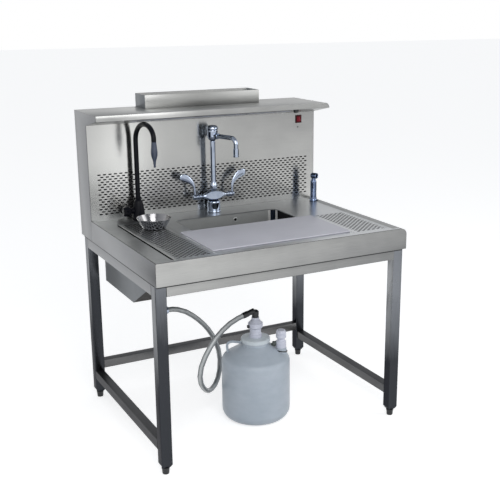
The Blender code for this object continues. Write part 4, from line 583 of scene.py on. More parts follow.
# End wall of the sink: painted shade and a painted reflection of the dark under the board.
STEEL_SHADED = grained(
    "stainless_end_wall_painted_shade", "#131318", "#1E1E23", 0.25, 0.04, (20, 20, 20), 0.0, Metallic=0.9,
)
# Weld and fold ground flush and left matt: a pale line beside the polished sheet; on the plate's fold
# and in the sink's rear corner it is a painted highlight.
STEEL_WELD_AND_HIGHLIGHT = grained(
    "ground_stainless_weld_and_painted_highlight", "#A4A5A4", "#B2B2B0", 0.55, 0.05, (4, 30, 4), 0.05, Metallic=0.3,
)
# Painted shade along the seams and joints: a dark line with a dull shine.
SEAM_SHADE = grained("painted_seam_shade", "#232425", "#303132", 0.50, 0.05, (15, 15, 15), 0.05)
# Bright chrome plate on cast brass: a full mirror with a cool cast.
CHROME = grained("chrome_plate", "#98A3B6", "#BAC3D2", 0.05, 0.02, (30, 30, 30), 0.0, Metallic=1.0)
# The hand spray's chrome and a line in the sink's corner: painted shade and reflection, blue-grey as
# from the dark about them.
CHROME_SHADED = grained(
    "chrome_plate_shaded", "#5C6A86", "#8290AA", 0.05, 0.02, (30, 30, 30), 0.0, Metallic=1.0,
)
# Epoxy powder coat on the laboratory tap: blue-black with a soft shine.
BLACK_COATING = grained(
    "black_epoxy_coating", "#08090E", "#101118", 0.32, 0.06, (1.5, 1.5, 1.5), 0.08,
    Specular_IOR_Level=0.12,
)
# The nozzle's grey epoxy: a lighter slate blue, smoother than the neck.
GREY_COATING = grained(
    "slate_epoxy_coating", "#2C3444", "#3D4658", 0.28, 0.05, (1.5, 1.5, 1.5), 0.06,
)
# Moulded black plastic: an even dull grain, drawn coarser than the real one to show at all.
BLACK_PLASTIC = grained(
    "moulded_black_plastic", "#131416", "#1F2123", 0.45, 0.06, (0.8, 0.8, 0.8), 0.15,
)
# Carbon felt behind the slots: a dead black that swallows the light; in the sink's overflow the same
# black is painted shade.
FELT_AND_SHADE = grained(
    "carbon_filter_felt_and_painted_shade", "#08080A", "#121214", 0.90, 0.05, (2, 2, 2), 0.30, Specular_IOR_Level=0.1,
)
# Moulded dark grey plastic on the vent's side barb and the pilot lens: an even dull grain.
GREY_PLASTIC = grained(
    "moulded_grey_plastic", "#414846", "#505755", 0.42, 0.06, (0.8, 0.8, 0.8), 0.12,
)
# Milled polyethylene board: a pale matt face with faint knife marks along it.
BOARD = grained("milled_polyethylene_board", "#ABABB3", "#BABAC2", 0.48, 0.06, (120, 3, 3), 0.10)
# Blow-moulded natural polyethylene: waxy, slightly translucent grey.
BOTTLE = grained(
    "blow_moulded_polyethylene", "#9EA9B4", "#AFB8C2", 0.38, 0.06, (60, 60, 30), 0.03,
    Subsurface_Weight=0.25, Subsurface_Radius=(0.01, 0.01, 0.01), Subsurface_Scale=1.0,
)
# The bottle's screw cap: the same resin, thicker and so a little paler.
CAP_PLASTIC = grained(
    "moulded_natural_polyethylene", "#BCC5CB", "#CBD3D8", 0.40, 0.05, (10, 10, 10), 0.05,
)
# Injection-moulded polypropylene: clean white with a faint cool cast and a soft sheen.
WHITE_PLASTIC = grained(
    "moulded_white_polypropylene", "#B8BCCB", "#CDD0DC", 0.35, 0.05, (10, 10, 10), 0.05,
)
# Polycarbonate rocker: deep red, smooth.
RED_PLASTIC = grained(
    "moulded_red_polycarbonate", "#6A0218", "#80061F", 0.36, 0.04, (4, 4, 4), 0.04,
    Specular_IOR_Level=0.2,
)
# The switch's frame: the same resin with more pigment, almost black.
DARK_RED_PLASTIC = grained(
    "moulded_dark_red_polycarbonate", "#2E0409", "#3C060D", 0.40, 0.04, (4, 4, 4), 0.04,
    Specular_IOR_Level=0.2,
)
# Opal acrylic over the lamp: milky and even.
DIFFUSER = grained(
    "opal_acrylic_diffuser", "#E4E6E3", "#EFF0ED", 0.30, 0.04, (2, 60, 60), 0.08,
    Subsurface_Weight=0.3, Subsurface_Radius=(0.004, 0.004, 0.004), Subsurface_Scale=1.0,
)


def vinyl():
    """Clear vinyl gone grey: glossy, with pale and dark streaks of painted highlight and painted
    shade that run along the hose.
    """
    material, tree, shader = new_finish("clear_vinyl_hose", Roughness=0.22)
    place = add(tree, "ShaderNodeTexCoord")
    parts = add(tree, "ShaderNodeSeparateXYZ", {"Vector": place.outputs["UV"]})
    # Pale and dark streaks round the hose: painted highlights and painted shade
    streaks = 3
    cloud_mm = 35
    turn = add(
        tree, "ShaderNodeMath", {0: parts.outputs["Y"], 1: 2 * math.pi * streaks},
        operation="MULTIPLY",
    )
    wave = add(tree, "ShaderNodeMath", {0: turn.outputs["Value"]}, operation="SINE")
    cloud = add(
        tree, "ShaderNodeTexNoise",
        {"Vector": place.outputs["Object"], "Scale": 1 / (cloud_mm * MM), "Detail": 2.0},
    )
    share = add(
        tree, "ShaderNodeMath", {0: wave.outputs["Value"], 1: cloud.outputs["Fac"]},
        operation="ADD",
    )
    tone = add(
        tree, "ShaderNodeMapRange",
        {"Value": share.outputs["Value"], "From Min": -0.6, "From Max": 1.5},
    )
    colour = add(
        tree, "ShaderNodeMix",
        {"Factor": tone.outputs["Result"], "A": linear("#63676A"), "B": linear("#B4B8B9")},
        data_type="RGBA",
    )
    tree.links.new(colour.outputs["Result"], shader.inputs["Base Color"])
    return material


HOSE_VINYL = vinyl()


# Camera and stage
# The floor's half width, the share of light that it returns, and its glow towards the camera
FLOOR_HALF = 40.0
FLOOR_TONE = (0.70, 0.70, 0.70, 1.0)
FLOOR_GLOW = 0.60


def add_camera():
    """The camera where the photograph was taken from."""
    data = bpy.data.cameras.new("camera")
    data.lens = CAMERA_LENS_MM
    data.sensor_width = CAMERA_SENSOR_MM
    data.shift_x, data.shift_y = CAMERA_SHIFT
    camera = bpy.data.objects.new("camera", data)
    bpy.context.scene.collection.objects.link(camera)
    right = CAMERA_FORWARD.cross(UP).normalized()
    up = right.cross(CAMERA_FORWARD)
    level_right = right * math.cos(CAMERA_ROLL) + up * math.sin(CAMERA_ROLL)
    level_up = up * math.cos(CAMERA_ROLL) - right * math.sin(CAMERA_ROLL)
    turn = Matrix((level_right, level_up, -CAMERA_FORWARD)).transposed().to_4x4()
    camera.matrix_world = Matrix.Translation(CAMERA_PLACE) @ turn
    bpy.context.scene.camera = camera


def seen_directly(tree):
    """One where a ray comes from the camera, a mirror or glass, and zero elsewhere."""
    path = add(tree, "ShaderNodeLightPath")
    first = add(
        tree, "ShaderNodeMath",
        {0: path.outputs["Is Camera Ray"], 1: path.outputs["Is Glossy Ray"]}, operation="MAXIMUM",
    )
    return add(
        tree, "ShaderNodeMath", {0: first.outputs["Value"], 1: path.outputs["Is Transmission Ray"]},
        operation="MAXIMUM",
    ).outputs["Value"]


def flanks(tree):
    """One on the floor far to the left and right, for mirrors alone, and zero elsewhere."""
    place = add(tree, "ShaderNodeTexCoord")
    parts = add(tree, "ShaderNodeSeparateXYZ", {"Vector": place.outputs["Object"]})
    tilt = 0.10
    aside = add(tree, "ShaderNodeMath", {0: parts.outputs["X"]}, operation="ABSOLUTE")
    slope = add(
        tree, "ShaderNodeMath", {0: parts.outputs["Y"], 1: aside.outputs["Value"]}, operation="DIVIDE"
    )
    tilted = add(tree, "ShaderNodeMath", {0: slope.outputs["Value"], 1: tilt}, operation="SUBTRACT")
    off = add(tree, "ShaderNodeMath", {0: tilted.outputs["Value"]}, operation="ABSOLUTE")
    within = add(
        tree, "ShaderNodeMapRange",
        {"Value": off.outputs["Value"], "From Min": 0.75, "From Max": 0.50},
    )
    far = add(
        tree, "ShaderNodeMapRange",
        {"Value": aside.outputs["Value"], "From Min": 1.2, "From Max": 2.0},
    )
    patch = add(
        tree, "ShaderNodeMath", {0: within.outputs["Result"], 1: far.outputs["Result"]},
        operation="MULTIPLY",
    )
    path = add(tree, "ShaderNodeLightPath")
    return add(
        tree, "ShaderNodeMath", {0: patch.outputs["Value"], 1: path.outputs["Is Glossy Ray"]},
        operation="MULTIPLY",
    ).outputs["Value"]


def add_floor():
    """A white floor, with dark patches far to both sides that only polished metal mirrors."""
    bm = bmesh.new()
    bmesh.ops.create_grid(bm, x_segments=1, y_segments=1, size=FLOOR_HALF)
    mesh = bpy.data.meshes.new("floor")
    bm.to_mesh(mesh)
    bm.free()
    floor = bpy.data.objects.new("floor", mesh)
    bpy.context.scene.collection.objects.link(floor)
    material = bpy.data.materials.new("studio_floor")
    material.use_nodes = True
    tree = material.node_tree
    tree.nodes.clear()
    matt = add(tree, "ShaderNodeBsdfDiffuse", {"Color": FLOOR_TONE})
    glow_level = add(
        tree, "ShaderNodeMath", {0: seen_directly(tree), 1: FLOOR_GLOW}, operation="MULTIPLY"
    )
    glow = add(
        tree, "ShaderNodeEmission", {"Color": (1, 1, 1, 1), "Strength": glow_level.outputs["Value"]}
    )
    both = add(tree, "ShaderNodeAddShader")
    tree.links.new(matt.outputs["BSDF"], both.inputs[0])
    tree.links.new(glow.outputs["Emission"], both.inputs[1])
    card = add(tree, "ShaderNodeBsdfDiffuse", {"Color": linear("#1C2638")})
    mixed = add(tree, "ShaderNodeMixShader", {"Fac": flanks(tree)})
    tree.links.new(both.outputs["Shader"], mixed.inputs[1])
    tree.links.new(card.outputs["BSDF"], mixed.inputs[2])
    out = add(tree, "ShaderNodeOutputMaterial")
    tree.links.new(mixed.outputs["Shader"], out.inputs["Surface"])
    floor.data.materials.append(material)


def add_world():
    """Soft studio surroundings: white round the horizon, grey overhead, dim behind the camera."""
    world = bpy.data.worlds.new("studio")
    bpy.context.scene.world = world
    world.use_nodes = True
    tree = world.node_tree
    back = tree.nodes["Background"]
    direction = add(tree, "ShaderNodeTexCoord")
    parts = add(tree, "ShaderNodeSeparateXYZ", {"Vector": direction.outputs["Generated"]})
    height = add(
        tree, "ShaderNodeMapRange",
        {"Value": parts.outputs["Z"], "From Min": 0.10, "From Max": 0.75},
    )
    raised = add(
        tree, "ShaderNodeMapRange",
        {"Value": parts.outputs["Z"], "From Min": 0.42, "From Max": 0.62},
    )
    behind = add(
        tree, "ShaderNodeMapRange",
        {"Value": parts.outputs["Y"], "From Min": -0.30, "From Max": -0.80},
    )
    dim = add(
        tree, "ShaderNodeMath", {0: raised.outputs["Result"], 1: behind.outputs["Result"]},
        operation="MULTIPLY",
    )
    dome = add(
        tree, "ShaderNodeMix",
        {"Factor": height.outputs["Result"], "A": linear("#FFFFFF"), "B": linear("#A4A8AD")},
        data_type="RGBA",
    )
    shade = add(
        tree, "ShaderNodeMix",
        {"Factor": dim.outputs["Value"], "A": dome.outputs["Result"], "B": linear("#343943")},
        data_type="RGBA",
    )
    tree.links.new(shade.outputs["Result"], back.inputs["Color"])
    back.inputs["Strength"].default_value = 1.0


def add_lamp(name, place, target, size, power):
    """A square soft lamp turned to a target."""
    data = bpy.data.lights.new(name, "AREA")
    data.shape = "SQUARE"
    data.size = size
    data.energy = power
    lamp = bpy.data.objects.new(name, data)
    bpy.context.scene.collection.objects.link(lamp)
    aim = (Vector(target) - Vector(place)).to_track_quat("-Z", "Y").to_matrix().to_4x4()
    lamp.matrix_world = Matrix.Translation(place) @ aim


add_camera()
add_floor()
add_world()
add_lamp("key_softbox", (-1.2, -3.8, 3.2), target=(-0.1, 0, 0.7), size=3.0, power=110)
add_lamp("fill_softbox", (3.4, -2.2, 2.6), target=(0, 0, 0.8), size=2.8, power=40)


# Waste hose
def make_hose():
    """The hose from the waste elbow to the bottle, as one curve."""
    points = smooth_route(HOSE_ROUTE, HOSE_STEP)
    data = line_curve("waste_hose_vinyl", points, HOSE_DIAMETER / 2, sides=8)
    hose = bpy.data.objects.new("waste_hose_vinyl", data)
    bpy.context.scene.collection.objects.link(hose)
    settle(hose, HOSE_VINYL, "waste_hose")


make_hose()


# Frame and sheet metal
FEET = ("front_left", "front_right", "rear_left", "rear_right")
SLOT_BAND = ((-0.567, 0.948), (0.567, 1.142))
# The panel and both plates share the slots' pitch, and the panel's slots are the smallest.
SLOT_PITCH = (0.0262, 0.0116)
SLOT_SIZE = (0.0165, 0.0062)


def make_frame():
    """Legs, aprons and rails, with only their long edges rounded."""
    long_edge = 0.3
    leg_round = 0.0035
    apron_round = 0.0015
    rail_round = 0.003
    for corner in FEET:
        leg = sheet("leg_" + corner, STEEL_LEG, leg_round, segments=3, shortest=long_edge)
        # The flanks take a lit copy of the tube's finish: painted light.
        faced(leg, STEEL_LEG_FLANK, sideways)
    sheet("apron_front", STEEL_FRONT, apron_round, shortest=long_edge)
    sheet("apron_rear", STEEL_X, apron_round, shortest=long_edge)
    for side in ("left", "right"):
        sheet("apron_" + side, STEEL_SIDE, apron_round, shortest=long_edge)
        sheet("rail_" + side, STEEL_RAIL, rail_round, segments=3, shortest=long_edge)
    sheet("rail_rear", STEEL_RAIL, rail_round, segments=3, shortest=long_edge)


def make_foot(corner):
    """A levelling foot: a stem into the leg, a collar and a pad that tapers to the floor."""
    node = "foot_" + corner
    low, high, radius = middle(node)[1:]
    stem = 0.008
    profile = [
        (0, high), (stem, high), (stem, low + 0.031), (radius, low + 0.029), (radius, low + 0.024),
        (radius * 0.92, low + 0.022), (radius * 0.84, low + 0.004), (radius * 0.80, low), (0, low),
    ]
    turned(node + "_turned", node, BLACK_PLASTIC, profile, steps=32, fillet=0.0012)


def make_corner_seam(fascia):
    """Set the left fascia's front end back and fill the open corner with a dark bead of painted
    shade.
    """
    low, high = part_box("fascia_left")
    seam = 0.005
    clear = 0.0002
    short = 0.001
    end = 0.002
    for vert in fascia.data.vertices:
        if vert.co.y < low[1] + end:
            vert.co.y += seam
    x = low[0] + seam / 2
    y = low[1] + seam / 2 - clear
    bead = bar([(x, y, low[2] + short), (x, y, high[2] - short)], radius=seam / 2 - clear)
    added("corner_seam_shade", bead, SEAM_SHADE)


def shade_sink(sink):
    """The sink's right end: painted shade on the end wall, and in its rear corner a painted pale
    highlight and a painted blue-grey reflection.
    """
    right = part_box("sink_basin")[1][0]
    end_depth = 0.1
    # Share of X in the normals: at the rear wall, round the painted blue-grey reflection, and at the
    # end wall
    rear_turn = -0.1
    line_start = -0.35
    line_end = -0.75
    end_turn = -0.97

    def end_wall(face):
        upright = abs(face.normal.z) <= UPRIGHT
        return upright and face.center.x >= right - end_depth and face.normal.x <= rear_turn

    def rear_corner(face):
        return end_wall(face) and face.normal.x >= end_turn and face.normal.y <= 0

    def blue_line(face):
        return rear_corner(face) and line_end < face.normal.x < line_start

    faced(sink, STEEL_SHADED, lambda face: end_wall(face) and not rear_corner(face))
    faced(sink, STEEL_WELD_AND_HIGHLIGHT, rear_corner)
    faced(sink, CHROME_SHADED, blue_line)


def front_slope(face):
    """Whether a face looks both forwards and down."""
    forwards = -0.3
    down = -0.2
    return face.normal.y < forwards and face.normal.z < down


def make_sheet_metal():
    """The worktop's folds and deck, the trough, the cabinet with its hood, and the board."""
    sheet("fascia_front", STEEL_FRONT)
    make_corner_seam(sheet("fascia_left", STEEL_SIDE))
    sheet("fascia_right", STEEL_SIDE)
    # The trough's front slope takes painted shade.
    faced(sheet("plenum_trough", STEEL_PLENUM), STEEL_SLOPE_SHADE, front_slope)
    sheet("cabinet_left", STEEL_SIDE)
    sheet("cabinet_right", STEEL_SIDE)
    sheet("cabinet_back", STEEL_X)
    sheet("hood", STEEL_HOOD, width=0.0009)
    # The collar's ends take a darker finish: painted shade.
    faced(sheet("duct_collar", STEEL_COLLAR), STEEL_PLENUM, sideways)
    sheet("cutting_board", BOARD, width=0.0016, segments=3, shortest=0)
    sheet("worktop_deck", STEEL_DECK, width=0.0006, segments=1)
    shade_sink(sheet("sink_basin", STEEL_SINK, width=0.0006, segments=1))


def make_edge_weld(name, start, end):
    """A ground weld that ramps from the deck up to the rolled right edge, between two depths."""
    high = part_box("worktop_deck")[1]
    step = 0.006
    width = 0.016
    rolled = 0.002
    clear = 0.0002
    inner = high[0] - rolled - clear
    base = high[2] - step + clear
    ramp = [(inner - width, start, base), (inner, start, base), (inner, start, high[2] - clear)]
    added(name, prism(ramp, (0, end - start, 0)), STEEL_WELD_AND_HIGHLIGHT, "polished_stainless")


def make_edge_welds():
    """The right edge's weld, in front of the spray's holder and behind it."""
    low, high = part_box("worktop_deck")
    holder_low, holder_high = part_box("spray_holder")
    clear = 0.002
    fold = 0.017
    make_edge_weld("right_edge_weld", low[1] + fold, holder_low[1] - clear)
    make_edge_weld("right_rear_weld", holder_high[1] + clear, high[1] - clear)


def make_plate(node, margins, size):
    """A deck plate with staggered slots, inside left, front, right and rear margins."""
    low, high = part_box(node)
    band_low = (low[0] + margins[0], low[1] + margins[1])
    band_high = (high[0] - margins[2], high[1] - margins[3])
    middles = staggered(band_low, band_high, SLOT_PITCH, size)
    holes = [obround(x, y, *size, steps=3) for x, y in middles]
    bm = perforated(rectangle(low, high), holes, high[2] - low[2])
    bmesh.ops.translate(bm, vec=(0, 0, (low[2] + high[2]) / 2), verts=bm.verts)
    plate = settle(new_piece(node + "_perforated", bm), STEEL_DECK, node)
    # The punched edges take painted shade.
    faced(plate, STEEL_EDGE_SHADE, lambda face: abs(face.normal.z) < UPRIGHT)


def make_panel():
    """The back panel with its band of staggered slots and the opening for the switch."""
    low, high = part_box("back_panel")
    middles = staggered(*SLOT_BAND, SLOT_PITCH, SLOT_SIZE)
    holes = [obround(x, z, *SLOT_SIZE, steps=3) for x, z in middles]
    switch, switch_low, switch_high, switch_half = middle("switch_bezel")
    inset = 0.004
    reach = switch_half - inset
    lower = (switch.x - reach, switch_low + inset)
    holes.append(rectangle(lower, (switch.x + reach, switch_high - inset)))
    bm = perforated(rectangle((low[0], low[2]), (high[0], high[2])), holes, high[1] - low[1])
    turn = Matrix(((1, 0, 0), (0, 0, -1), (0, 1, 0))).to_4x4()
    middle_y = (low[1] + high[1]) / 2
    bmesh.ops.transform(bm, matrix=Matrix.Translation((0, middle_y, 0)) @ turn, verts=bm.verts)
    settle(new_piece("back_panel_perforated", bm), STEEL_PANEL, "back_panel")


def make_strip(name, low, high, finish, **held):
    """A strip or mat with rounded edges."""
    bm = bmesh.new()
    size = Vector(high) - Vector(low)
    centre = (Vector(high) + Vector(low)) / 2
    place = Matrix.Translation(centre) @ Matrix.Diagonal((*size, 1))
    bmesh.ops.create_cube(bm, size=1.0, matrix=place)
    bevelled(bm, list(bm.edges), min(size) / 4, 2)
    added(name, bm, finish, **held)


def make_filters():
    """Felt under both deck plates, held to the deck's underside, and behind the panel's slots."""
    deck_underside = 0.915
    felt = 0.003
    gap = 0.0003
    overlap = 0.010
    front = -0.431
    side = 0.531
    top = deck_underside - gap
    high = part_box("left_plate")[1]
    make_strip(
        "left_plate_filter", (-side, front, top - felt),
        (high[0] + overlap, high[1] + overlap, top), FELT_AND_SHADE,
    )
    low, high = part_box("right_plate")
    make_strip(
        "right_plate_filter", (low[0] - overlap, front, top - felt), (side, high[1] + overlap, top),
        FELT_AND_SHADE,
    )
    low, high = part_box("back_panel")
    inset = 0.020
    spare = 0.004
    make_strip(
        "back_panel_filter", (low[0] + inset, high[1] + gap, SLOT_BAND[0][1] - spare),
        (high[0] - inset, high[1] + gap + felt, SLOT_BAND[1][1] + spare), FELT_AND_SHADE,
    )


def make_seam_shades():
    """Dark strips of painted shade where the worktop meets the frame, and along the seams of its
    upper edge.
    """
    gap = 0.0001
    thick = 0.0016
    short = 0.004
    front_height = 0.011
    left_height = 0.004
    low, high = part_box("leg_front_left")
    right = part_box("leg_front_right")[1][0]
    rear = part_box("leg_rear_left")[1][1]
    make_strip(
        "front_joint_shade", (low[0] + short, low[1] - gap - thick, high[2] - front_height),
        (right - short, low[1] - gap, high[2]), SEAM_SHADE,
    )
    make_strip(
        "left_joint_shade", (low[0] - gap - thick, low[1] + short, high[2] - left_height),
        (low[0] - gap, rear - short, high[2]), SEAM_SHADE,
    )
    low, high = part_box("worktop_deck")
    proud = 0.0002
    level = high[2] - 2 * proud
    front = low[1] - proud
    left = low[0] - proud
    front_line = bar([(low[0], front, level), (high[0], front, level)], radius=0.0013)
    left_line = bar([(left, low[1], level), (left, high[1], level)], radius=0.0016)
    added("worktop_edge_shade", joined(front_line, left_line), SEAM_SHADE)


def make_plate_edge():
    """The folded left edge of the left plate, a painted highlight pale beside the open slot."""
    low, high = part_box("left_plate")
    inset = 0.0005
    width = 0.006
    sunk = 0.0002
    rise = 0.0012
    ends = 0.002
    make_strip(
        "left_plate_fold", (low[0] + inset, low[1] + ends, high[2] - sunk),
        (low[0] + width, high[1] - ends, high[2] + rise), STEEL_WELD_AND_HIGHLIGHT, slot="polished_stainless",
        body=BODY_OF["left_plate"],
    )


make_frame()
for corner in FEET:
    make_foot(corner)
make_sheet_metal()
make_edge_welds()
make_plate("left_plate", margins=(0.012, 0.014, 0.010, 0.014), size=(0.0185, 0.0080))
make_plate("right_plate", margins=(0.022, 0.008, 0.004, 0.004), size=(0.0180, 0.0074))
make_panel()
make_filters()
make_seam_shades()
make_plate_edge()


# Sink drain, waste elbow, lamp and switch
def make_drain():
    """A flanged strainer with a cross of bars over its bore."""
    centre, low, high, radius = middle("sink_drain")
    bore = 0.017
    wall = 0.003
    profile = [
        (bore, high - 0.012), (bore + 0.012, high - 0.001), (radius - 0.004, high),
        (radius, high - 0.0022), (radius, high - 0.003), (bore + wall, high - 0.003),
        (bore + wall, low), (bore, low), (bore, high - 0.012),
    ]
    forms = [spun(profile, (centre.x, centre.y, 0), fillet=0.0006)]
    for angle in (0, math.pi / 2):
        reach = Vector((math.cos(angle), math.sin(angle), 0)) * (bore + 0.002)
        level = Vector((centre.x, centre.y, high - 0.016))
        forms.append(bar([level - reach, level + reach], radius=0.0018, sides=3))
    settle(new_piece("sink_drain_strainer", joined(*forms)), CHROME, "sink_drain")


def make_overflow():
    """The overflow hole in the sink's back wall: a pressed ring round a dark disc of painted shade.
    """
    place = (0.0695, 0.1748, 0.8875)
    towards_user = (0, -1, 0)
    ring = spun(
        [(0.0075, 0), (0.0072, 0.0012), (0.0092, 0.0018), (0.0112, 0.0008), (0.0116, 0)], place,
        towards_user, fillet=0.0004,
    )
    added("sink_overflow_ring", ring, STEEL_SINK, "polished_stainless")
    well = spun(
        [(0, 0.0002), (0.0045, 0.0003), (0.0080, 0.0006), (0.0080, 0), (0, 0)], place, towards_user,
    )
    added("sink_overflow_painted_shade", well, FELT_AND_SHADE)


def make_waste_elbow():
    """A flanged outlet that turns from the trough's floor towards the hose."""
    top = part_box("waste_elbow")[1][2]
    place = Vector((-0.397, 0.020, 0))
    arm_level = HOSE_ROUTE[0][2]
    arm_end = Vector((HOSE_ROUTE[0][0] - 0.0005, place.y, arm_level))
    flange = spun(
        [
            (0, top), (0.028, top), (0.028, top - 0.004), (0.0185, top - 0.0065),
            (0.0185, top - 0.014), (0.015, top - 0.016), (0, top - 0.016),
        ],
        place, fillet=0.001,
    )
    bend = 0.016
    points = [place + UP * (top - 0.012), place + UP * (arm_level + bend)]
    for step in range(1, 7):
        angle = math.pi / 2 * step / 6
        across = bend * (1 - math.cos(angle))
        points.append(place + Vector((across, 0, arm_level + bend * (1 - math.sin(angle)))))
    points.append(arm_end)
    pipe = bar(points, radius=0.0148, sides=6)
    collar = spun(
        [(0.0135, -0.012), (0.0172, -0.011), (0.0172, -0.001), (0.0135, 0)], arm_end, (1, 0, 0),
        fillet=0.001,
    )
    settle(new_piece("waste_elbow_cast", joined(flange, pipe, collar)), CHROME, "waste_elbow")


def make_lamp_cover(slope):
    """A ribbed milky strip on the lamp's lower face."""
    half_length = 0.396
    half_width = 0.021
    face = 0.0024
    ribs = 14
    thickness = 0.0010
    rib_height = 0.0006
    lamp_middle = (0, 0.250, 1.383)
    line = [(-half_length, -half_width, -face), (-half_length, half_width, -face)]
    for step in range(2 * ribs + 1):
        across = half_width * (1 - step / ribs)
        depth = face + thickness + rib_height * (step % 2)
        line.append((-half_length, across, -depth))
    bm = prism(line, (2 * half_length, 0, 0))
    place = Matrix.Translation(lamp_middle) @ Matrix.Rotation(-slope, 4, "X")
    bmesh.ops.transform(bm, matrix=place, verts=bm.verts)
    added("lamp_cover_ribbed", bm, DIFFUSER, "lamp_diffuser")


def make_lamp():
    """The lamp's frame under the hood with its milky cover, and its knob."""
    sheet("hood_lamp", WHITE_PLASTIC, slot="lamp_diffuser")
    hood_fall = 0.032
    hood_run = 0.150
    slope = math.atan2(hood_fall, hood_run)
    make_lamp_cover(slope)
    centre, _, _, radius = middle("lamp_knob")
    down = Vector((0, -math.sin(slope), -math.cos(slope)))
    length = 0.0150
    face = centre + down * length / 2
    profile = [
        (0, 0), (radius * 0.80, 0), (radius * 0.94, 0.002), (radius, length * 0.75),
        (radius, length), (0, length),
    ]
    bm = spun(profile, (0, 0, 0), steps=72, fillet=0.0008)
    fluted(bm, (0, 0), 24, depth=0.0006, low=0.001, high=length - 0.002, least=radius * 0.9)
    turn = UP.rotation_difference(-down).to_matrix().to_4x4()
    bmesh.ops.transform(bm, matrix=Matrix.Translation(face) @ turn, verts=bm.verts)
    settle(new_piece("lamp_knob_turned", bm), BLACK_PLASTIC, "lamp_knob")


def make_switch():
    """The rocker in its frame, and the pilot lens under it."""
    sheet("switch_bezel", DARK_RED_PLASTIC, width=0.0006, shortest=0)
    sheet("switch_rocker", RED_PLASTIC, width=0.0010, segments=3, shortest=0)
    panel_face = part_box("back_panel")[0][1]
    lens = spun(
        [(0, 0.0032), (0.0026, 0.0026), (0.0036, 0.0012), (0.0036, 0), (0, 0)],
        (0.505, panel_face + 0.0002, 1.292), (0, -1, 0), steps=24, fillet=0.0005,
    )
    added("switch_pilot_lens", lens, GREY_PLASTIC)


make_drain()
make_overflow()
make_waste_elbow()
make_lamp()
make_switch()


# Main tap
def make_lever(name, side):
    """A hub and a blade that rises, leans outwards and widens to a rounded end, facing the user."""
    body, _, _, body_half = middle("tap_body")
    hub_radius = 0.0125
    hub_length = 0.022
    start = body.x + side * (body_half + 0.0003)
    hub = spun(
        [
            (0, 0), (hub_radius * 0.9, 0), (hub_radius, 0.002), (hub_radius, hub_length - 0.005),
            (hub_radius * 0.7, hub_length - 0.001), (0, hub_length),
        ],
        (start, body.y, body.z), (side, 0, 0), fillet=0.0015,
    )
    root = Vector((start + side * hub_length / 2, body.y, body.z))
    # Across, up, half the width and half the thickness of the blade, from the hub to its end
    blade = (
        (0.0000, 0.0000, 0.0050, 0.0046),
        (0.0000, 0.0180, 0.0050, 0.0044),
        (0.0004, 0.0350, 0.0053, 0.0040),
        (0.0038, 0.0530, 0.0066, 0.0036),
        (0.0150, 0.0715, 0.0108, 0.0032),
        (0.0290, 0.0850, 0.0152, 0.0030),
        (0.0440, 0.0945, 0.0176, 0.0029),
        (0.0580, 0.1010, 0.0174, 0.0028),
        (0.0670, 0.1045, 0.0148, 0.0024),
        (0.0715, 0.1062, 0.0100, 0.0018),
        (0.0732, 0.1068, 0.0040, 0.0010),
    )
    route = [root + Vector((side * across, 0, up)) for across, up, half, thin in blade]
    along = [route[1] - route[0]]
    along += [after - before for before, after in zip(route, route[2:])]
    along.append(route[-1] - route[-2])
    sections = []
    for place, run, (across, up, half, thin) in zip(route, along, blade):
        run.normalize()
        wide = Vector((run.z, 0, -run.x)) * half
        deep = Vector((0, thin, 0))
        section = Matrix((wide, deep, run)).transposed().to_4x4()
        sections.append(Matrix.Translation(place) @ section)
    settle(new_piece(name + "_cast", joined(hub, lofted(sections))), CHROME, name)


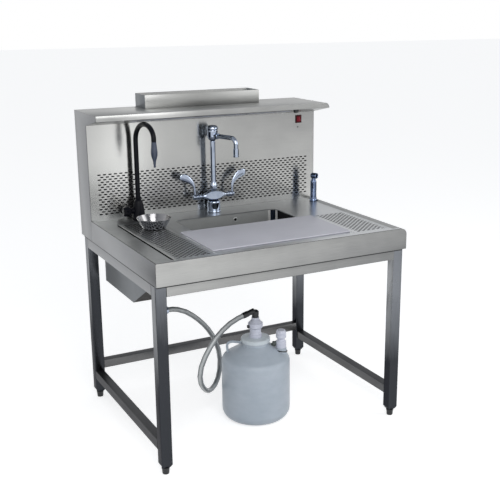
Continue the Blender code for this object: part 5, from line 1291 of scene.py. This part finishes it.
def make_tap():
    """Pillar, cross body with its flat face, riser, vacuum breaker and both levers."""
    low, high, flange = middle("tap_pillar")[1:]
    radius = 0.0320
    turned(
        "tap_pillar_cast", "tap_pillar", CHROME,
        [
            (0, high), (radius * 0.88, high), (radius, high - 0.006), (radius, low + 0.012),
            (flange * 0.93, low + 0.006), (flange, low + 0.003), (flange, low), (0, low),
        ],
        fillet=0.003,
    )

    centre, low, high, end = middle("tap_body")
    bulge = (high - low) / 2
    waist = 0.0100
    half_bulge = 0.056
    face_depth = 0.0140
    profile = [(0, -end), (0.0135, -end), (0.0135, -0.076), (0.0095, -0.071), (0.0090, -0.064)]
    for step in range(-8, 9):
        share = step / 8
        profile.append((waist + (bulge - waist) * (1 - share * share), share * half_bulge))
    profile += [(0.0090, 0.064), (0.0095, 0.071), (0.0135, 0.076), (0.0135, end), (0, end)]
    form = spun(profile, centre, (1, 0, 0), fillet=0.0012)
    lean = math.radians(13)
    facing = Vector((0, -math.cos(lean), math.sin(lean)))
    cut = bmesh.ops.bisect_plane(
        form, geom=list(form.verts) + list(form.edges) + list(form.faces),
        plane_co=centre + facing * face_depth, plane_no=facing, clear_outer=True,
    )
    rim = [item for item in cut["geom_cut"] if isinstance(item, bmesh.types.BMEdge)]
    flat = bmesh.ops.edgeloop_fill(form, edges=rim)
    # A narrow border takes up the shading of the rim, so the face is even however it is divided
    border = 0.0006
    bmesh.ops.inset_individual(
        form, faces=flat["faces"], thickness=border, depth=0, use_even_offset=True
    )
    settle(new_piece("tap_body_cast", form), CHROME, "tap_body")

    low, high, nut = middle("tap_riser")[1:]
    turned(
        "tap_riser_pipe", "tap_riser", CHROME,
        [
            (0, high), (0.0126, high), (0.0126, low + 0.042), (0.0150, low + 0.039),
            (nut, low + 0.026), (nut, low + 0.010), (0.0130, low + 0.004), (0.0125, low), (0, low),
        ],
        fillet=0.0025,
    )

    low, high, radius = middle("breaker_body")[1:]
    turned(
        "breaker_body_cast", "breaker_body", CHROME,
        [
            (0, high), (radius, high), (radius, low + 0.024), (radius * 0.86, low + 0.010),
            (0.0140, low + 0.003), (0.0120, low), (0, low),
        ],
        fillet=0.004,
    )

    low, high, radius = middle("breaker_cap")[1:]
    rise = high - low
    turned(
        "breaker_cap_turned", "breaker_cap", CHROME,
        [
            (0, high), (radius * 0.55, high - rise * 0.06), (radius * 0.88, high - rise * 0.28),
            (radius, low + rise * 0.40), (radius, low + rise * 0.14), (radius * 0.93, low),
            (0, low),
        ],
        fillet=0.004,
    )
    make_lever("tap_lever_left", -1)
    make_lever("tap_lever_right", 1)


def make_spout():
    """The spout out of the breaker's side: a nut, a level run, a quarter bend and an aerator."""
    centre, low, _, radius = middle("breaker_body")
    angle = math.radians(-72.0)
    out = Vector((math.cos(angle), math.sin(angle), 0))
    axis = Vector((centre.x, centre.y, low + 0.026))
    reach = 0.160
    bend = 0.030
    drop = 0.081
    points = [axis + out * (radius - 0.004), axis + out * (reach - bend)]
    corner = axis + out * (reach - bend) - UP * bend
    for step in range(1, 12):
        turn = math.pi / 2 * step / 12
        points.append(corner + out * bend * math.sin(turn) + UP * bend * math.cos(turn))
    tip = axis + out * reach - UP * drop
    points += [axis + out * reach - UP * bend, tip]
    pipe = bar(points, radius=0.0110, sides=6)
    aerator = spun(
        [
            (0, 0.034), (0.0114, 0.034), (0.0132, 0.032), (0.0132, 0.004), (0.0126, 0.0035),
            (0.0126, 0.0025), (0.0132, 0.002), (0.0132, -0.0055), (0.0115, -0.0068),
            (0.0100, -0.0060), (0.0100, -0.0040), (0, -0.0040),
        ],
        tip, fillet=0.0006,
    )
    nut = spun(
        [(0, 0), (0.0160, 0), (0.0168, 0.002), (0.0168, 0.012), (0.0135, 0.016), (0, 0.016)],
        axis + out * (radius - 0.003), out, steps=6,
    )
    settle(new_piece("tap_spout_pipe", joined(pipe, aerator, nut)), CHROME, "tap_spout")


make_tap()
make_spout()


# Gooseneck tap, bowl and hand spray
def make_gooseneck():
    """A bell-shaped base with a side knob, an arched neck and a stepped nozzle."""
    low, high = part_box("gooseneck_base")
    radius = (high[1] - low[1]) / 2
    axis = Vector((high[0] - radius, (low[1] + high[1]) / 2, 0))
    base = low[2]
    top = high[2]
    bell_power = 0.55
    bell_height = 0.8
    throat = 0.0145
    profile = [(0, top), (0.0125, top), (throat, top - 0.003)]
    for step in range(1, 9):
        share = step / 8
        across = throat + (radius - throat) * share**bell_power
        profile.append((across, top - (top - base) * bell_height * share))
    profile += [(radius, base + 0.004), (radius - 0.001, base), (0, base)]
    bell = spun(profile, axis, fillet=0.002)
    level = 0.964
    boss = spun(
        [(0, 0), (0.0130, 0), (0.0130, 0.030), (0.0130, 0.032), (0.0130, 0.0357), (0, 0.0357)],
        (axis.x, axis.y, level), (-1, 0, 0), fillet=0.001,
    )
    settle(new_piece("gooseneck_base_cast", joined(bell, boss)), BLACK_COATING, "gooseneck_base")

    knob_low, knob_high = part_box("gooseneck_knob")
    knob_radius = (knob_high[2] - knob_low[2]) / 2
    length = knob_high[0] - knob_low[0]
    form = spun(
        [
            (0, 0), (0.0130, 0), (knob_radius, length * 0.25), (knob_radius, length * 0.85),
            (knob_radius * 0.8, length), (0, length),
        ],
        (0, 0, 0), steps=96, fillet=0.003,
    )
    fluted(
        form, (0, 0), 8, depth=0.0022, low=length * 0.2, high=length * 0.98, least=knob_radius * 0.7
    )
    turn = UP.rotation_difference(Vector((-1, 0, 0))).to_matrix().to_4x4()
    place = Matrix.Translation((knob_high[0], axis.y, level))
    bmesh.ops.transform(form, matrix=place @ turn, verts=form.verts)
    settle(new_piece("gooseneck_knob_moulded", form), BLACK_COATING, "gooseneck_knob")

    nozzle, nozzle_low, nozzle_high, nozzle_radius = middle("gooseneck_nozzle")
    direction = Vector((nozzle.x - axis.x, nozzle.y - axis.y, 0))
    reach = direction.length
    direction.normalize()
    clear = 0.0003
    start = axis + UP * (top + clear)
    end = nozzle_high + clear
    stem_top = 1.290
    tail = 0.012
    rise = 0.071
    points = [start]
    steps = 36
    for step in range(steps + 1):
        angle = math.pi * step / steps
        ends = stem_top + (end + tail - stem_top) * step / steps
        across = reach / 2 * (1 - math.cos(angle))
        points.append(axis + direction * across + UP * (ends + rise * math.sin(angle)))
    points.append(axis + direction * reach + UP * end)
    neck = bar(points, radius=0.0112, sides=6)
    ring = spun([(0.011, 0), (0.0135, 0.001), (0.0135, 0.009), (0.011, 0.010)], start, fillet=0.001)
    settle(new_piece("gooseneck_neck_pipe", joined(neck, ring)), BLACK_COATING, "gooseneck_neck")

    length = nozzle_high - nozzle_low
    form = spun(
        [
            (0, 0), (0.0112, 0), (0.0118, length * 0.10), (nozzle_radius, length * 0.36),
            (nozzle_radius, length * 0.44), (nozzle_radius * 0.92, length * 0.56),
            (0.0072, length * 0.74), (0.0062, length * 0.80), (0.0062, length * 0.86),
            (0.0050, length * 0.88), (0.0050, length), (0.0030, length), (0.0030, length * 0.94),
            (0, length * 0.94),
        ],
        (nozzle.x, nozzle.y, nozzle_high), (0, 0, -1), fillet=0.004,
    )
    settle(new_piece("gooseneck_nozzle_turned", form), GREY_COATING, "gooseneck_nozzle")


def make_bowl():
    """A thin spun bowl with a plain rim."""
    low, high, radius = middle("drip_bowl")[1:]
    foot = 0.054
    wall = 0.0014
    turned(
        "drip_bowl_spun", "drip_bowl", STEEL_BOWL,
        [
            (0, low + wall), (foot - 0.004, low + wall), (foot - 0.001, low + 0.004),
            (radius - wall - 0.0002, high - 0.0006), (radius - wall / 2, high),
            (radius, high - 0.0008), (foot + 0.0006, low + 0.003), (foot - 0.003, low), (0, low),
        ],
        steps=72, fillet=0.0006,
    )


def make_spray():
    """A hand spray that stands in its deck holder, its head turned to the user."""
    centre, low, high, radius = middle("spray_holder")
    turned(
        "spray_holder_turned", "spray_holder", CHROME_SHADED,
        [
            (0.0126, low + 0.004), (0.0126, high), (0.0165, high), (0.0172, high - 0.010),
            (radius, low + 0.007), (radius, low), (0, low), (0, low + 0.004), (0.0126, low + 0.004),
        ],
        fillet=0.0015,
    )

    bottom = high + 0.0003
    radius = 0.0158
    shoulder = bottom + 0.086
    neck = shoulder + 0.010
    head_radius = 0.015
    grip = spun(
        [
            (0, neck + head_radius), (0.0100, neck + 0.007), (0.0100, shoulder + 0.005),
            (radius * 0.90, shoulder), (radius, shoulder - 0.010), (radius, bottom + 0.030),
            (radius - 0.0007, bottom + 0.027), (radius - 0.0007, bottom + 0.024),
            (radius, bottom + 0.021), (radius, bottom), (0.0120, bottom), (0.0120, bottom - 0.018),
            (0, bottom - 0.018),
        ],
        (centre.x, centre.y, 0), fillet=0.002,
    )
    angle = math.radians(-62.0)
    facing = Vector((math.cos(angle), math.sin(angle), 0))
    head = spun(
        [
            (0, -0.0136), (head_radius * 0.7, -0.0130), (head_radius, -0.008), (head_radius, 0.017),
            (head_radius * 0.92, 0.0204), (head_radius * 0.75, 0.0204),
            (head_radius * 0.70, 0.0185), (0, 0.0185),
        ],
        (centre.x, centre.y, neck + head_radius * 0.9), facing, fillet=0.0016,
    )
    settle(new_piece("spray_handset_cast", joined(grip, head)), CHROME_SHADED, "spray_handset")


make_gooseneck()
make_bowl()
make_spray()


# Waste bottle and its fittings
BOTTLE_AXIS = Vector((0.016, -0.131, 0))
BOTTLE_TURN = math.radians(-28.0)
BOTTLE_RADIUS = 0.161
BOTTLE_WALL = 0.003
NECK_RADIUS = 0.0625
NECK_FOOT = 0.360
BOTTLE_TOP = 0.3895
BOSS_REACH = 0.1195


def on_bottle(across, height):
    """A point over the line through the handle and the vent, across from the bottle's axis."""
    turn = Vector((math.cos(BOTTLE_TURN), math.sin(BOTTLE_TURN), 0))
    return BOTTLE_AXIS + turn * across + UP * height


def bottle_side(depth, steps=8):
    """The bottle's side from the neck's rim to its base, at a depth under the outer face."""
    shoulder_round = 0.035
    shoulder_height = 0.278
    foot_round = 0.048
    rise = NECK_FOOT - shoulder_height - shoulder_round
    run = BOTTLE_RADIUS - shoulder_round - NECK_RADIUS
    slope = math.pi / 2 - math.atan2(rise, run)
    side = [(NECK_RADIUS - depth, BOTTLE_TOP), (NECK_RADIUS - depth, NECK_FOOT - depth / 2)]
    for step in range(steps + 1):
        angle = slope * (1 - step / steps)
        across = BOTTLE_RADIUS - shoulder_round + (shoulder_round - depth) * math.cos(angle)
        side.append((across, shoulder_height + (shoulder_round - depth) * math.sin(angle)))
    for step in range(steps + 1):
        angle = -math.pi / 2 * step / steps
        across = BOTTLE_RADIUS - foot_round + (foot_round - depth) * math.cos(angle)
        side.append((across, foot_round + (foot_round - depth) * math.sin(angle)))
    return side


def make_bottle():
    """The bottle's hollow shell with its carrying loop and side boss, and its cap."""
    inner = bottle_side(BOTTLE_WALL)
    profile = bottle_side(0) + [(0, 0), (0, BOTTLE_WALL)] + inner[::-1] + [bottle_side(0)[0]]
    shell = spun(profile, BOTTLE_AXIS, steps=72)
    grip = [
        on_bottle(-NECK_RADIUS + BOTTLE_WALL / 2, 0.366), on_bottle(-0.0805, 0.3675),
        on_bottle(-0.115, 0.370), on_bottle(-0.133, 0.355), on_bottle(-0.130, 0.3115),
    ]
    handle = bar(smooth_route(grip, step=0.006), radius=0.006)
    boss = spun(
        [(0, 0.341), (0.026, 0.341), (0.026, 0.316), (0.030, 0.306), (0, 0.306)],
        on_bottle(BOSS_REACH, 0), fillet=0.002,
    )
    settle(new_piece("bottle_body_blown", joined(shell, handle, boss)), BOTTLE, "bottle_body")

    centre, low, high, radius = middle("bottle_cap")
    form = spun(
        [
            (0, high), (0.050, high), (0.052, high - 0.001), (radius - 0.004, high - 0.001),
            (radius, high - 0.004), (radius, high - 0.008), (radius, high - 0.012),
            (radius, low + 0.002), (radius - 0.0006, low), (0.063, low), (0.063, high - 0.005),
            (0, high - 0.005),
        ],
        (centre.x, centre.y, 0), steps=240,
    )
    fluted(
        form, centre, 60, depth=0.0011, low=low + 0.001, high=high - 0.003, least=radius - 0.002
    )
    settle(new_piece("bottle_cap_moulded", form), CAP_PLASTIC, "bottle_cap")


def make_bottle_fittings():
    """The coupling with its latch, the hose elbow, and the vent with its barb and tie."""
    low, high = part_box("hose_coupling")
    wide = (high[1] - low[1]) / 2
    rise = high[2] - low[2]
    levels = (
        (0, 1.0), (0.0185, 1.0), (0.0185, 0.93), (0.0170, 0.92), (0.0170, 0.89), (0.0210, 0.87),
        (0.0300, 0.76), (wide, 0.72), (wide, 0.64), (wide - 0.0015, 0.63), (wide - 0.0015, 0.61),
        (wide, 0.60), (wide, 0.52), (0.0265, 0.44), (0.0260, 0.16), (0.0300, 0.14), (0.0300, 0.0),
        (0, 0.0),
    )
    form = spun(
        [(radius, low[2] + rise * share) for radius, share in levels], BOTTLE_AXIS, fillet=0.0012
    )
    settle(new_piece("hose_coupling_moulded", form), WHITE_PLASTIC, "hose_coupling")
    sheet("coupling_latch", BLACK_PLASTIC, width=0.0015, segments=3, shortest=0)

    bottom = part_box("hose_elbow")[0][2]
    top = bottom + 0.035
    barrel = spun(
        [
            (0, top), (0.010, top), (0.0165, top - 0.006), (0.0165, bottom + 0.012),
            (0.0150, bottom + 0.010), (0.0150, bottom + 0.008), (0.0165, bottom + 0.006),
            (0.0165, bottom), (0, bottom),
        ],
        BOTTLE_AXIS, fillet=0.0025,
    )
    end = Vector(HOSE_ROUTE[-1])
    inwards = (end - Vector(HOSE_ROUTE[-2])).normalized()
    reach = (BOTTLE_AXIS.x - end.x) / inwards.x
    arm = spun(
        [
            (0, 0.0003), (0.0122, 0.0003), (0.0130, 0.0015), (0.0130, 0.010), (0.0118, 0.011),
            (0.0118, 0.014), (0.0130, 0.015), (0.0130, reach - 0.0065), (0, reach - 0.0065),
        ],
        end, inwards, fillet=0.0008,
    )
    hose_radius = HOSE_DIAMETER / 2
    socket = spun(
        [
            (hose_radius + 0.0003, 0), (hose_radius + 0.0003, -0.024),
            (hose_radius + 0.0016, -0.023), (hose_radius + 0.0022, -0.012),
            (hose_radius + 0.0022, 0.002), (hose_radius, 0.003), (hose_radius + 0.0003, 0),
        ],
        end, inwards, fillet=0.0006,
    )
    elbow = joined(barrel, arm, socket)
    settle(new_piece("hose_elbow_moulded", elbow), BLACK_PLASTIC, "hose_elbow")

    centre, low_level, high_level, radius = middle("vent_fitting")
    rise = high_level - low_level
    levels = (
        (0, 1.0), (radius * 0.72, 1.0), (radius * 0.80, 0.985), (radius, 0.88), (radius, 0.78),
        (radius * 0.95, 0.77), (radius * 0.95, 0.74), (radius, 0.73), (radius, 0.58),
        (radius * 0.72, 0.50), (radius * 0.72, 0.42), (radius, 0.36), (radius, 0.0), (0, 0.0),
    )
    form = spun(
        [(size, low_level + rise * share) for size, share in levels], (centre.x, centre.y, 0),
        steps=96, fillet=0.0015,
    )
    level = low_level + rise * 0.34
    fluted(form, centre, 24, depth=0.0012, low=low_level + 0.002, high=level, least=radius - 0.001)
    settle(new_piece("vent_fitting_moulded", form), WHITE_PLASTIC, "vent_fitting")

    towards_cap = on_bottle(-1, 0) - on_bottle(0.4, 0.5)
    barb = spun(
        [
            (0, radius * 0.6), (0.0105, radius * 0.6), (0.0105, radius + 0.006),
            (0.0130, radius + 0.008), (0.0130, radius + 0.015), (0.0080, radius + 0.017),
            (0.0065, radius + 0.025), (0, radius + 0.025),
        ],
        (centre.x, centre.y, level), towards_cap, fillet=0.001,
    )
    body = BODY_OF["vent_fitting"]
    added("vent_barb", barb, GREY_PLASTIC, body=body)
    tie_radius = 0.0285
    tie_droop = 0.005
    around = []
    for step in range(33):
        angle = 2 * math.pi * step / 32
        out = Vector((math.cos(angle), math.sin(angle), -tie_droop / tie_radius * math.cos(angle)))
        around.append(on_bottle(BOSS_REACH, 0.327) + out * tie_radius)
    tie = bar(around, radius=0.0023, sides=3)
    added("vent_tie", tie, BLACK_PLASTIC, body=body)


make_bottle()
make_bottle_fittings()

bpy.context.scene.view_settings.view_transform = "Standard"
